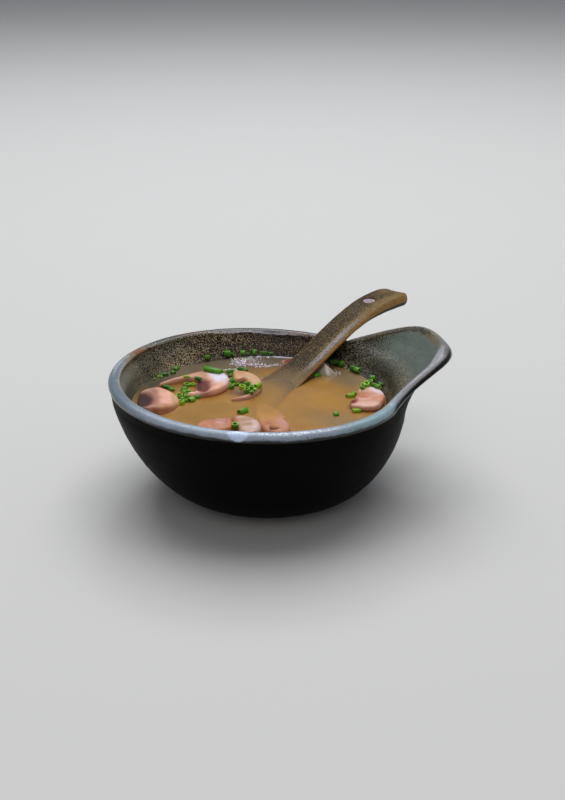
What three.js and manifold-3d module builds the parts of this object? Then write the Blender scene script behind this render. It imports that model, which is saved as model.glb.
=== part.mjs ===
// Miso soup in a stoneware side-dish bowl with a pulled-up lip, and a porcelain-style spoon resting in it.
// Millimetres, +Z up. While it is built, the bowl's rim is centred over the origin and the lip points along +X.
// At the end the whole group is moved so that its box stands centred on the origin, with the foot at z = 0.

import * as THREE from 'three';
import { mergeVertices } from 'three/addons/utils/BufferGeometryUtils.js';
import Module from 'manifold-3d';

const wasm = await Module();
wasm.setup();

// ---------------------------------------------------------------- driving dimensions

const DEG = Math.PI / 180;
const GAP = 0.3;                    // clearance between pieces that touch in the real dish

const RIM_RADIUS = 67.5;            // outermost radius of the bowl below its rounded rim
const RIM_HEIGHT = 53.8;            // height of the rim's crest over the bowl's axis
const RIM_DIP = 0.03;               // the hand-thrown rim drops this much per mm toward the lip
const RIM_THICKNESS = 5.6;
const RIM_FLAT = { by: 1.1, at: 160 * DEG, spread: 32 * DEG };  // the rim's circle is a little flat here

const WALL_FLAT = { by: 1.6, at: -10 * DEG, spread: 40 * DEG }; // the wall is drawn in a little under the lip

const FOOT_RADIUS = 33;             // outside of the foot ring
const FOOT_SHIFT = 4.6;             // the foot sits this far off the rim's axis, toward the lip
const FOOT_HEIGHT = 1.8;
const FOOT_RING_WIDTH = 6;
const FOOT_RECESS = 1.5;            // depth of the unglazed hollow inside the ring
const WALL_START_RADIUS = 36.5;     // outer wall where it leaves the foot

const FLOOR_HEIGHT = 9;             // inner floor above the table
const FLOOR_RADIUS = 20;            // flat part of the inner floor
const SHOULDER_DROP = 2.6;          // the inner wall ends this far under the crest
const SHOULDER_RADIUS = 62;
// where the inner wall is thicker: behind the lip, and opposite the spoon
const WALL_DENTS = [{ by: 2.6, at: 30 * DEG, spread: 28 * DEG }, { by: 2.6, at: 132 * DEG, spread: 26 * DEG }];

const LIP_HALF_ANGLE = 39.8 * DEG;  // half the rim's arc that the lip takes up
const LIP_REACH = 86.3;             // from the bowl's axis to the lip's end
const LIP_RISE = 14;                // the lip's end stands this far above the rim
const LIP_RISE_POWER = 0.71;        // under 1, it rises early and levels off
const LIP_EDGE_ANGLE = 32.1 * DEG;  // each edge leaves the rim at this angle to the lip's axis
const LIP_EDGE_PULL = 28.1;         // the two pulls of the edge's Bezier curve
const LIP_END_PULL = 28.8;
const LIP_SAG = 1.2;                // the lip's floor dips below a straight ramp
const UNDERSIDE_TUCK = 0.66;        // under 1, the lip's underside hugs its floor before it drops to the wall

const SOUP_LEVEL = 41.5;

const SPOON_AXIS = 38.2 * DEG;      // the way the handle points, seen from above
const SPOON_REST = [47.3, 46.1];    // where its centre line crosses the rim
const SPOON_TIP = 48.5;             // handle's end, from that crossing
const SPOON_TOE = -103;             // front of the scoop
const SPOON_THICKNESS = 3.2;
const SPOON_SWING = 1;              // the hand-made handle's end swings this far to the left
const HOLE_RADIUS = 3.1;
const HOLE_AT = 27;                 // the hanging hole, from the same crossing
const HOLE_OFF = 1.7;               // the hole sits this far left of the handle's middle

const CHIVE_SEED = 20;

// ---------------------------------------------------------------- small helpers

// Seeded random numbers between 0 and 1 (mulberry32).
function randomSource(seed) {
  let state = seed >>> 0;
  return () => {
    state = (state + 0x6D2B79F5) >>> 0;
    let t = state;
    t = Math.imul(t ^ (t >>> 15), t | 1);
    t ^= t + Math.imul(t ^ (t >>> 7), t | 61);
    return ((t ^ (t >>> 14)) >>> 0) / 4294967296;
  };
}

function lerp(a, b, t) {
  return a + (b - a) * t;
}

// 0 below a, 1 above b, smooth between.
function ramp(a, b, x) {
  const t = Math.min(1, Math.max(0, (x - a) / (b - a)));
  return t * t * (3 - 2 * t);
}

// A natural-looking curve through [x, y] knots, read at x (monotone in x, Catmull-Rom slopes).
function throughKnots(knots, x) {
  const last = knots.length - 1;
  if (x <= knots[0][0]) return knots[0][1];
  if (x >= knots[last][0]) return knots[last][1];
  let i = 0;
  while (knots[i + 1][0] < x) i += 1;
  const slope = (k) => {
    const a = knots[Math.max(0, k - 1)];
    const b = knots[Math.min(last, k + 1)];
    return (b[1] - a[1]) / (b[0] - a[0]);
  };
  const h = knots[i + 1][0] - knots[i][0];
  const t = (x - knots[i][0]) / h;
  const t2 = t * t;
  const t3 = t2 * t;
  return (2 * t3 - 3 * t2 + 1) * knots[i][1] + (t3 - 2 * t2 + t) * h * slope(i)
    + (3 * t2 - 2 * t3) * knots[i + 1][1] + (t3 - t2) * h * slope(i + 1);
}

// Closed body from a stack of loops with equal point counts; a loop of one point is a pole.
function loft(loops) {
  const positions = [];
  const starts = [];
  for (const loop of loops) {
    starts.push(positions.length / 3);
    for (const p of loop) positions.push(p[0], p[1], p[2]);
  }
  const index = [];
  for (let k = 0; k + 1 < loops.length; k += 1) {
    const n = Math.max(loops[k].length, loops[k + 1].length);
    for (let i = 0; i < n; i += 1) {
      const j = (i + 1) % n;
      const a = starts[k];
      const b = starts[k + 1];
      if (loops[k].length === 1) index.push(a, b + j, b + i);
      else if (loops[k + 1].length === 1) index.push(a + i, a + j, b);
      else index.push(a + i, a + j, b + j, a + i, b + j, b + i);
    }
  }
  return outward(positions, index);
}

// Indexed geometry with its faces turned outward.
function outward(positions, index) {
  let volume = 0;
  const at = (i) => new THREE.Vector3().fromArray(positions, 3 * i);
  for (let k = 0; k < index.length; k += 3) {
    volume += at(index[k]).dot(at(index[k + 1]).cross(at(index[k + 2])));
  }
  if (volume < 0) {
    for (let k = 0; k < index.length; k += 3) [index[k + 1], index[k + 2]] = [index[k + 2], index[k + 1]];
  }
  const geometry = new THREE.BufferGeometry();
  geometry.setAttribute('position', new THREE.Float32BufferAttribute(positions, 3));
  geometry.setIndex(index);
  return geometry;
}

// A copy that stands about this much further out on every side.
function inflated(geometry, by) {
  const fat = mergeVertices(geometry.clone().deleteAttribute('normal').deleteAttribute('uv'), 1e-4);
  const position = fat.attributes.position;
  const facesAt = Array.from({ length: position.count }, () => []);
  const corner = (i) => new THREE.Vector3().fromBufferAttribute(position, i);
  for (let k = 0; k < fat.index.count; k += 3) {
    const ids = [0, 1, 2].map((m) => fat.index.getX(k + m));
    const [a, b, c] = ids.map(corner);
    const normal = b.sub(a).cross(c.sub(a)).normalize();
    if (normal.length() > 0.5) ids.forEach((id) => facesAt[id].push(normal));
  }
  const moved = facesAt.map((normals, i) => {
    const mean = normals.reduce((sum, n) => sum.add(n), new THREE.Vector3()).normalize();
    const least = Math.min(...normals.map((n) => n.dot(mean)));
    return corner(i).addScaledVector(mean, by / Math.max(0.25, least));
  });
  moved.forEach((p, i) => position.setXYZ(i, p.x, p.y, p.z));
  return fat;
}

function toSolid(geometry) {
  const bare = geometry.clone();
  bare.deleteAttribute('normal');
  bare.deleteAttribute('uv');
  const merged = mergeVertices(bare, 1e-4);
  return new wasm.Manifold(new wasm.Mesh({
    numProp: 3,
    vertProperties: new Float32Array(merged.attributes.position.array),
    triVerts: new Uint32Array(merged.index.array),
  }));
}

// Geometry of a solid's largest body; loose scraps are dropped.
function fromSolid(solid) {
  const bodies = solid.decompose().sort((a, b) => b.volume() - a.volume());
  const mesh = bodies[0].getMesh();
  const geometry = new THREE.BufferGeometry();
  geometry.setAttribute('position', new THREE.Float32BufferAttribute(Array.from(mesh.vertProperties), 3));
  geometry.setIndex(Array.from(mesh.triVerts));
  return geometry;
}

function clay(color, roughness) {
  return new THREE.MeshStandardMaterial({ color, roughness, metalness: 0 });
}

function addMesh(group, name, geometry, material) {
  const mesh = new THREE.Mesh(geometry, material);
  mesh.name = name;
  group.add(mesh);
  return mesh;
}

// ---------------------------------------------------------------- bowl

const LIP_COLUMNS = 26;
const WALL_COLUMNS = 34;

// The rim seen from above: for each column its azimuth, its outermost point, and how far it stands above
// the plain rim. Round the bowl it is a circle; the lip's two edges are mirrored Bezier curves.
function rimColumns() {
  const columns = [];
  const start = [RIM_RADIUS * Math.cos(LIP_HALF_ANGLE), RIM_RADIUS * Math.sin(LIP_HALF_ANGLE)];
  const pullA = [start[0] + LIP_EDGE_PULL * Math.cos(LIP_EDGE_ANGLE),
    start[1] - LIP_EDGE_PULL * Math.sin(LIP_EDGE_ANGLE)];
  const edge = new THREE.CubicBezierCurve(new THREE.Vector2(...start), new THREE.Vector2(...pullA),
    new THREE.Vector2(LIP_REACH, LIP_END_PULL), new THREE.Vector2(LIP_REACH, 0));
  const addLip = (t, side) => {
    const p = edge.getPoint(t);
    const reach = Math.min(1, Math.max(0, (p.length() - RIM_RADIUS) / (LIP_REACH - RIM_RADIUS)));
    columns.push({ x: p.x, y: side * p.y, rise: LIP_RISE * Math.pow(reach, LIP_RISE_POWER) });
  };
  const half = LIP_COLUMNS / 2;
  for (let i = half; i > 0; i -= 1) addLip(i / half, -1);
  columns.reverse();
  for (let i = half - 1; i > 0; i -= 1) addLip(i / half, 1);
  // columns now run from the lip's -Y corner round its end to its +Y corner
  const span = 2 * Math.PI - 2 * LIP_HALF_ANGLE;
  for (let i = 0; i <= WALL_COLUMNS; i += 1) {
    const a = LIP_HALF_ANGLE + (span * i) / WALL_COLUMNS;
    const r = RIM_RADIUS - dentAt(RIM_FLAT, a);
    columns.push({ x: r * Math.cos(a), y: r * Math.sin(a), rise: 0 });
  }
  for (const c of columns) c.azimuth = Math.atan2(c.y, c.x);
  columns.sort((a, b) => a.azimuth - b.azimuth);
  const n = columns.length;
  columns.forEach((c, i) => {
    const before = columns[(i + n - 1) % n];
    const after = columns[(i + 1) % n];
    const tx = after.x - before.x;
    const ty = after.y - before.y;
    const length = Math.hypot(tx, ty);
    c.inward = [-ty / length, tx / length];
  });
  return columns;
}

// How deep a dent is at azimuth a.
function dentAt(dent, a) {
  const turn = Math.atan2(Math.sin(a - dent.at), Math.cos(a - dent.at)) / dent.spread;
  return dent.by * Math.exp(-turn * turn);
}

// Outer radius of the wall at height z: a full belly that closes quickly onto the foot.
function outerRadius(z) {
  const t = Math.min(1, Math.max(0, (z - FOOT_HEIGHT) / (RIM_HEIGHT - 1.5 - FOOT_HEIGHT)));
  return WALL_START_RADIUS + (RIM_RADIUS - WALL_START_RADIUS) * Math.pow(1 - Math.pow(1 - t, 1.85), 1 / 1.5);
}

// Inner radius of the wall at height z and azimuth a.
function innerRadius(z, a) {
  const top = RIM_HEIGHT - SHOULDER_DROP;
  const t = Math.min(1, Math.max(0, (z - FLOOR_HEIGHT) / (top - FLOOR_HEIGHT)));
  const plain = FLOOR_RADIUS + (SHOULDER_RADIUS - FLOOR_RADIUS) * Math.pow(1 - Math.pow(1 - t, 1.2), 1 / 1.5);
  const dents = WALL_DENTS.reduce((sum, dent) => sum + dentAt(dent, a), 0);
  return plain - dents * Math.sin(Math.PI * Math.min(1, 1.1 * t));
}

// Heights of the rings that make the inner wall; one of them lies at the soup's level.
function insideLevels() {
  const top = RIM_HEIGHT - SHOULDER_DROP;
  const below = 8;
  const levels = [];
  for (let k = 0; k < below; k += 1) levels.push(lerp(FLOOR_HEIGHT, SOUP_LEVEL, Math.pow(k / below, 1.5)));
  levels.push(SOUP_LEVEL, lerp(SOUP_LEVEL, top, 0.5), top);
  return levels;
}

// How far the axis of the outside has moved toward the foot's centre at height z.
function skew(z) {
  return FOOT_SHIFT * (1 - z / RIM_HEIGHT);
}

const RIM_COLUMNS = rimColumns();
const COLUMN_AZIMUTHS = RIM_COLUMNS.map((c) => c.azimuth);

function bowlGeometry() {
  const ring = (f) => RIM_COLUMNS.map(f);
  const dip = (x) => -RIM_DIP * x;
  const loops = [[[0, 0, FLOOR_HEIGHT]]];

  // inside: floor, belly and shoulder
  loops.push(ring((c) => [0.55 * FLOOR_RADIUS * Math.cos(c.azimuth), 0.55 * FLOOR_RADIUS * Math.sin(c.azimuth),
    FLOOR_HEIGHT]));
  const shoulder = RIM_HEIGHT - SHOULDER_DROP;
  for (const z of insideLevels()) {
    loops.push(ring((c) => {
      const r = innerRadius(z, c.azimuth);
      const x = r * Math.cos(c.azimuth);
      return [x, r * Math.sin(c.azimuth), z + dip(x) * ramp(SOUP_LEVEL, shoulder, z)];
    }));
  }

  // the flare from the shoulder to the inner edge of the rim, which becomes the lip's floor
  const rimInner = (c) => [c.x + c.inward[0] * RIM_THICKNESS * 0.92, c.y + c.inward[1] * RIM_THICKNESS * 0.92];
  for (const t of [0.35, 0.7, 1]) {
    loops.push(ring((c) => {
      const sx = SHOULDER_RADIUS * Math.cos(c.azimuth);
      const sy = SHOULDER_RADIUS * Math.sin(c.azimuth);
      const [rx, ry] = rimInner(c);
      const sag = LIP_SAG * ramp(0, LIP_RISE, c.rise) * 4 * t * (1 - t);
      return [lerp(sx, rx, t), lerp(sy, ry, t),
        lerp(shoulder + dip(sx), RIM_HEIGHT - 0.9 + dip(c.x) + c.rise, t) - sag];
    }));
  }

  // the rounded rim, from its inner edge over the crest to its outer edge
  for (const [across, drop] of [[0.7, 0.15], [0.42, 0], [0.16, 0.5], [0.02, 1.6]]) {
    loops.push(ring((c) => [c.x + c.inward[0] * RIM_THICKNESS * across,
      c.y + c.inward[1] * RIM_THICKNESS * across, RIM_HEIGHT + dip(c.x) + c.rise - drop]));
  }

  // the underside of the lip runs back to the wall; elsewhere this is the wall's top
  for (const t of [0.3, 0.65, 1]) {
    const z = RIM_HEIGHT - 9.5;
    loops.push(ring((c) => {
      const r = outerRadius(z) - dentAt(RIM_FLAT, c.azimuth) - dentAt(WALL_FLAT, c.azimuth);
      const wx = r * Math.cos(c.azimuth) + skew(z);
      const wy = r * Math.sin(c.azimuth);
      const topZ = RIM_HEIGHT + dip(c.x) + c.rise - 2.8;
      const inward = Math.pow(t, UNDERSIDE_TUCK);
      return [lerp(c.x, wx, inward), lerp(c.y, wy, inward), lerp(topZ, z + dip(wx), Math.pow(t, 1 / UNDERSIDE_TUCK))];
    }));
  }

  // outside: wall down to the foot ring, and the recess under it
  const outsideSteps = 8;
  for (let k = 1; k <= outsideSteps; k += 1) {
    const z = lerp(FOOT_HEIGHT, RIM_HEIGHT - 9.5, Math.pow(1 - k / outsideSteps, 1.4));
    loops.push(ring((c) => {
      const r = outerRadius(z) - dentAt(RIM_FLAT, c.azimuth) * (1 - k / outsideSteps)
        - dentAt(WALL_FLAT, c.azimuth) * Math.sin((Math.PI / 2) * (1 - k / outsideSteps));
      const x = r * Math.cos(c.azimuth) + skew(z);
      return [x, r * Math.sin(c.azimuth), z + dip(x) * Math.pow(1 - k / outsideSteps, 2)];
    }));
  }
  const footRing = (r, z) => loops.push(ring((c) => [r * Math.cos(c.azimuth) + FOOT_SHIFT,
    r * Math.sin(c.azimuth), z]));
  footRing(FOOT_RADIUS + 0.6, FOOT_HEIGHT - 0.5);
  footRing(FOOT_RADIUS, 0);
  footRing(FOOT_RADIUS - FOOT_RING_WIDTH, 0);
  footRing(FOOT_RADIUS - FOOT_RING_WIDTH - 1.2, FOOT_RECESS);
  loops.push([[FOOT_SHIFT, 0, FOOT_RECESS]]);
  return loft(loops);
}

// ---------------------------------------------------------------- spoon

// Height of the spoon's upper edges above the rim's crest, along its length from the rim crossing.
const SPOON_EDGE = [[-103, -26], [-90, -22.7], [-76, -19.3], [-60, -15], [-45, -11], [-38, -9.5], [-30, -7.4],
  [-22, -4.6], [-14, -1.4], [-6, 2], [2, 5.1], [10, 7.5], [18, 9.3], [26, 10.6], [34, 11.3], [42, 11], [51, 9.4]];
// Half its width before its ends are rounded, and how deep its channel lies under its edges.
const SPOON_HALF_WIDTH = [[-103, 18], [-90, 21], [-79, 21.5], [-68, 20], [-58, 16], [-48, 11.8],
  [-38, 9.4], [-26, 8.2], [0, 8.2], [18, 8.4], [34, 8.6], [51, 8.2]];
const SPOON_DEPTH = [[-103, 2.5], [-99, 6.5], [-92, 12.5], [-83, 17], [-72, 17.5], [-60, 12], [-48, 5.5],
  [-36, 2.2], [-20, 1.3], [5, 1.2], [25, 0.4], [51, 0.3]];
const TOE_ROUND = 17;               // length of the scoop's rounded front
const TIP_ROUND = 7;                // length of the handle's rounded end

// Stations along the spoon, closer together over its rounded ends.
function spoonStations() {
  const stations = [];
  for (const t of [0.04, 0.14, 0.3, 0.5, 0.75]) stations.push(SPOON_TOE + TOE_ROUND * t);
  const middle = 22;
  for (let i = 0; i < middle; i += 1) {
    stations.push(lerp(SPOON_TOE + TOE_ROUND, SPOON_TIP - TIP_ROUND, i / (middle - 1)));
  }
  for (const t of [0.7, 0.45, 0.22, 0.08, 0.01]) stations.push(SPOON_TIP - TIP_ROUND * t);
  return stations;
}

// 1 along the middle, falling to 0 round an elliptical end of the given length.
function endRound(inside, length) {
  const t = Math.min(1, Math.max(0, 1 - inside / length));
  return Math.sqrt(1 - t * t);
}

// One cross-section at station e: points across the top from one edge to the other, then back underneath.
function spoonSection(e) {
  const across = 10;
  const toe = endRound(e - SPOON_TOE, TOE_ROUND);
  const tip = endRound(SPOON_TIP - e, TIP_ROUND);
  const half = throughKnots(SPOON_HALF_WIDTH, e) * toe * tip;
  const depth = throughKnots(SPOON_DEPTH, e) * toe * toe * tip;
  const edge = RIM_HEIGHT + throughKnots(SPOON_EDGE, e);
  const swing = SPOON_SWING * ramp(0, 30, e);
  const place = (v, drop) => {
    const side = swing + half * v;
    return [SPOON_REST[0] + e * Math.cos(SPOON_AXIS) - side * Math.sin(SPOON_AXIS),
      SPOON_REST[1] + e * Math.sin(SPOON_AXIS) + side * Math.cos(SPOON_AXIS), edge - drop];
  };
  const hollow = (v) => 1 - Math.pow(Math.abs(v), 2.6);
  const body = (SPOON_THICKNESS + 1.2 * ramp(0, SPOON_TIP, e)) * (0.6 + 0.4 * toe * tip);
  const sideShare = lerp(0.45, 0.85, ramp(0, 25, e));  // the handle's sides grow upright toward its end
  const loop = [];
  for (let i = 0; i <= across; i += 1) {
    const v = lerp(-1, 1, i / across);
    loop.push(place(v, depth * hollow(v)));
  }
  for (let i = across; i >= 0; i -= 1) {
    const v = lerp(-1, 1, i / across);
    loop.push(place(v, depth * hollow(v) + body * lerp(sideShare, 1, hollow(v))));
  }
  return loop;
}

function spoonGeometry() {
  const sections = spoonStations().map(spoonSection);
  const middle = (loop) => {
    const p = [0, 0, 0];
    for (const q of loop) for (let k = 0; k < 3; k += 1) p[k] += q[k] / loop.length;
    return [p];
  };
  return loft([middle(sections[0]), ...sections, middle(sections[sections.length - 1])]);
}

// The hanging hole through the handle's end.
function spoonHole() {
  const circle = new THREE.Shape();
  circle.absarc(0, 0, HOLE_RADIUS, 0, 2 * Math.PI, false);
  const hole = new THREE.ExtrudeGeometry(circle, { depth: 24, bevelEnabled: false, curveSegments: 16 });
  const side = SPOON_SWING + HOLE_OFF;
  hole.translate(SPOON_REST[0] + HOLE_AT * Math.cos(SPOON_AXIS) - side * Math.sin(SPOON_AXIS),
    SPOON_REST[1] + HOLE_AT * Math.sin(SPOON_AXIS) + side * Math.cos(SPOON_AXIS), RIM_HEIGHT - 1);
  return hole;
}

// ---------------------------------------------------------------- mushroom slices and tofu

// Each slice: where its cap's base line is centred, the way its dome points, its cap's half width and dome
// height, the two angles between which the dome runs, the outline of what is left of its stem (in the slice's
// own plane, from its +Y side round to its -Y side), its thickness, height of its middle, and two tilts.
const SLICES = [
  { at: [-49.2, 5.0], dome: -8, half: 14.5, rise: 13.5, arc: [-100, 100], stem: [[3, 3.8], [-1, 2.9], [-1, -2.9],
    [3, -3.8]], thick: 6.5, z: 42.6, pitch: 8, roll: -3 },
  { at: [-24.8, 22.4], dome: -17, half: 14.8, rise: 14.6, arc: [-99, 68], stem: [[-7, 7.6], [-17.5, -1.9],
    [-17, -3.4], [-7, 3.2], [1, 4]], thick: 4.6, z: 42.6, pitch: -3, roll: 2 },
  { at: [-9.2, 16.4], dome: -6, half: 14.0, rise: 12.2, arc: [-98, 98], stem: [[4, 2.5], [4, -2.5]],
    thick: 3.4, z: 42.9, pitch: -2, roll: 2 },
  { at: [23.4, 41.8], dome: 40, half: 6.6, rise: 7, arc: [-90, 90], stem: [[2.2, 1.4], [2.2, -1.4]],
    thick: 3, z: 41.0, pitch: -4, roll: 0 },
  { at: [43.0, -10.8], dome: -22, half: 12.3, rise: 12, arc: [-94, 84], stem: [[2, 3], [-0.6, 2.6], [-0.6, -2.6],
    [2, -3]], thick: 5.5, z: 43.0, pitch: -3, roll: 2 },
  { at: [-24.0, -35.5], dome: 104, half: 8.5, rise: 9, arc: [-96, 96], stem: [[1.5, 2], [-1, 1.8], [-1, -1.8],
    [1.5, -2]], thick: 5, z: 43.2, pitch: -4, roll: 2 },
  { at: [-14.2, -33.8], dome: 6, half: 10.2, rise: 9.2, arc: [-92, 92], stem: [[3, 2], [3, -2]],
    thick: 5.5, z: 42.8, pitch: -3, roll: 3 },
  { at: [0.8, -27.5], dome: 18, half: 14, rise: 10.5, arc: [-98, 98], stem: [[3, 2.8], [3, -2.8]],
    thick: 5, z: 41.2, pitch: 4, roll: 8 },
];

// Outline of a cut mushroom: dome, rolled-in margins, a gill hollow on each side, and the stem. A dome that
// stops short of 80 degrees on its +Y side has no gill hollow there: its stem starts from the dome's end.
function sliceOutline(slice, grow) {
  const { half, rise, arc, stem } = slice;
  const points = [];
  const domeSteps = 14;
  for (let i = 0; i <= domeSteps; i += 1) {
    const a = lerp(arc[0], arc[1], i / domeSteps) * DEG;
    points.push([rise * Math.cos(a), half * Math.sin(a)]);
  }
  const under = [[-0.2, 0.88], [0.02, 0.74], [0.24, 0.6], [0.34, 0.42]];
  const gills = (side) => under.map(([x, y]) => [rise * x, side * half * y]);
  if (arc[1] > 80) points.push(...gills(1));
  points.push(...stem, ...gills(-1).reverse());
  return offsetOutline(points, grow);
}

// Moves each corner of a counter-clockwise outline along its outward bisector.
function offsetOutline(points, by) {
  const n = points.length;
  return points.map((p, i) => {
    const a = points[(i + n - 1) % n];
    const b = points[(i + 1) % n];
    const tx = b[0] - a[0];
    const ty = b[1] - a[1];
    const length = Math.hypot(tx, ty);
    return [p[0] + (by * ty) / length, p[1] - (by * tx) / length];
  });
}

// A slab with softened edges on the slice's outline, lying in its own plane.
function sliceGeometry(slice) {
  const bevel = 0.035 * slice.half;
  const top = slice.thick / 2;
  const levels = [[-top, -bevel], [-top + bevel, 0], [top - bevel, 0], [top, -bevel]];
  const loops = levels.map(([z, by]) => sliceOutline(slice, by).map((p) => [p[0], p[1], z]));
  const n = loops[0].length;
  const positions = loops.flat(2);
  const index = [];
  for (let k = 0; k < 3; k += 1) {
    for (let i = 0; i < n; i += 1) {
      const j = (i + 1) % n;
      index.push(k * n + i, k * n + j, k * n + n + j, k * n + i, k * n + n + j, k * n + n + i);
    }
  }
  for (const [k, flip] of [[0, true], [3, false]]) {
    const flat = loops[k].map((p) => new THREE.Vector2(p[0], p[1]));
    for (const [a, b, c] of THREE.ShapeUtils.triangulateShape(flat, [])) {
      if (flip) index.push(k * n + a, k * n + c, k * n + b);
      else index.push(k * n + a, k * n + b, k * n + c);
    }
  }
  return outward(positions, index);
}

// The frame that carries a slice's own plane into the dish.
function slicePlace(slice) {
  const place = new THREE.Object3D();
  place.position.set(slice.at[0], slice.at[1], slice.z);
  place.rotation.set(slice.roll * DEG, slice.pitch * DEG, slice.dome * DEG, 'ZYX');
  place.updateMatrix();
  return place;
}

const TOFU_SIZE = [10, 3.2, 10];     // a thin square of tofu that pokes one corner out of the soup
const TOFU_CORNER = [36.7, 28.5, 46.6];
const TOFU_HEADING = 79.3 * DEG;     // the way its back leans

// The frame that leans the square back on one corner, with the opposite corner at TOFU_CORNER.
function tofuPlace() {
  const place = new THREE.Object3D();
  const up = new THREE.Vector3(0, 0, 1);
  place.quaternion.setFromUnitVectors(new THREE.Vector3(1, 1, 1).normalize(), up);
  // the thin edge at the top corner now falls away toward this azimuth
  const edge = new THREE.Vector3(0, -1, 0).applyQuaternion(place.quaternion);
  place.quaternion.premultiply(new THREE.Quaternion().setFromAxisAngle(up, TOFU_HEADING - Math.atan2(edge.y, edge.x)));
  const corner = new THREE.Vector3(...TOFU_SIZE).multiplyScalar(0.5).applyQuaternion(place.quaternion);
  place.position.set(...TOFU_CORNER).sub(corner);
  place.updateMatrix();
  return place;
}

// ---------------------------------------------------------------- chives

// Cut chives, seen from above: where a few lie together, how far they spread, how many, what they lie on
// (the soup, the wall at the waterline, or a slice by its number), and a length and heading where one is long.
const CHIVES = [
  { on: 'soup', at: [-36.6, 33.6], spread: 2.0, count: 3 },
  { on: 'soup', at: [-33.0, 38.6], spread: 1.4, count: 2 },
  { on: 'soup', at: [-43.0, 28.8], spread: 0, count: 1 },
  { on: 'soup', at: [-36.5, 21.0], spread: 0, count: 1, length: 5, heading: -20 },
  { on: 'soup', at: [-34.4, 14.4], spread: 2.0, count: 5 },
  { on: 'soup', at: [-30.6, 3.4], spread: 2.6, count: 5 },
  { on: 'soup', at: [-2.0, 38.0], spread: 1.8, count: 3 },
  { on: 'soup', at: [-8.0, 36.5], spread: 0.5, count: 1 },
  { on: 'soup', at: [-9.5, -12.6], spread: 0, count: 1, length: 3, heading: 30 },
  { on: 'soup', at: [31.4, 20.6], spread: 0.8, count: 2 },
  { on: 'soup', at: [38.0, -4.4], spread: 0.8, count: 1 },
  { on: 'soup', at: [34.0, -26.5], spread: 0.8, count: 1 },
  { on: 'soup', at: [30.3, -22.4], spread: 0.6, count: 1 },
  { on: 'wall', at: [-15.7, 52.8], spread: 0, count: 1 },
  { on: 'wall', at: [-5.6, 54.0], spread: 0.9, count: 2 },
  { on: 'wall', at: [2.2, 56.2], spread: 1.2, count: 2 },
  { on: 'wall', at: [9.4, 54.6], spread: 1.8, count: 3 },
  { on: 'wall', at: [42.6, 33.9], spread: 0.8, count: 2 },
  { on: 'wall', at: [47.8, 21.5], spread: 0, count: 1 },
  { on: 'wall', at: [52.5, 9.4], spread: 1.2, count: 2 },
  { on: 'wall', at: [55.0, 4.2], spread: 0.5, count: 1 },
  { on: 2, at: [-17.0, 28.8], spread: 0, count: 1, length: 8.5, heading: -50 },
  { on: 2, at: [-29.2, 23.0], spread: 0, count: 1 },
  { on: 3, at: [-4.6, 10.6], spread: 1.6, count: 3 },
  { on: 3, at: [-4.2, 4.8], spread: 1.6, count: 3 },
  { on: 3, at: [0.4, 8.6], spread: 0.9, count: 2 },
  { on: 5, at: [47.6, -3.8], spread: 1.0, count: 2 },
  { on: 6, at: [-23.5, -28.8], spread: 0, count: 1, length: 7, heading: 22 },
  { on: 7, at: [-13.4, -27.4], spread: 0, count: 1 },
];

// Every chive of the table as a short rod: where it lies, what it lies on, and its solid about the origin.
function cutChives() {
  const random = randomSource(CHIVE_SEED);
  const chives = [];
  for (const patch of CHIVES) {
    for (let i = 0; i < patch.count; i += 1) {
      const reach = patch.spread * Math.sqrt(random());
      const way = random() * 2 * Math.PI;
      const radius = lerp(1.05, 1.45, random());
      const length = lerp(1.6, 2.8, random());
      const standing = random() < 0.45;
      const lean = lerp(0, 22, random());
      const heading = random() * 360;
      const rod = new THREE.CylinderGeometry(radius, radius, patch.length || length, 6, 1);
      if (standing && !patch.length && patch.on !== 'wall') rod.rotateX((90 + lean) * DEG);
      else rod.rotateZ(90 * DEG).rotateX(lean * DEG);
      rod.rotateZ((patch.heading === undefined ? heading : patch.heading) * DEG);
      const x = patch.at[0] + reach * Math.cos(way);
      const y = patch.at[1] + reach * Math.sin(way);
      chives.push({ on: patch.on, x, y, radius, rod });
    }
  }
  return chives;
}

// ---------------------------------------------------------------- soup

// The soup before anything is cut from it: the inside of the bowl up to the soup's level, less the gap.
function soupBody() {
  const loops = [[[0, 0, FLOOR_HEIGHT + GAP]]];
  for (const z of insideLevels().filter((level) => level <= SOUP_LEVEL)) {
    const lifted = z + GAP * (1 - ramp(FLOOR_HEIGHT, SOUP_LEVEL, z));
    loops.push(COLUMN_AZIMUTHS.map((a) => {
      const r = innerRadius(z, a) - 1.4 * GAP;
      return [r * Math.cos(a), r * Math.sin(a), lifted];
    }));
  }
  loops.push([[0, 0, SOUP_LEVEL]]);
  return toSolid(loft(loops));
}

// ---------------------------------------------------------------- assembly

const group = new THREE.Group();
const chives = cutChives();

// chives on the wall stand just clear of the soup and join the bowl
let bowl = toSolid(bowlGeometry());
for (const { x, y, radius, rod } of chives.filter((chive) => chive.on === 'wall')) {
  const azimuth = Math.atan2(y, x);
  const z = SOUP_LEVEL + 2 * GAP + 1.1 * radius;
  const r = innerRadius(z, azimuth) - 0.5 * radius;
  bowl = bowl.add(toSolid(rod.translate(r * Math.cos(azimuth), r * Math.sin(azimuth), z)));
}
addMesh(group, 'bowl', fromSolid(bowl), clay(0x4a4f48, 0.35));

const spoonSolid = toSolid(spoonGeometry()).subtract(toSolid(spoonHole()));
addMesh(group, 'spoon', fromSolid(spoonSolid), clay(0x6b6046, 0.4));

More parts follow.
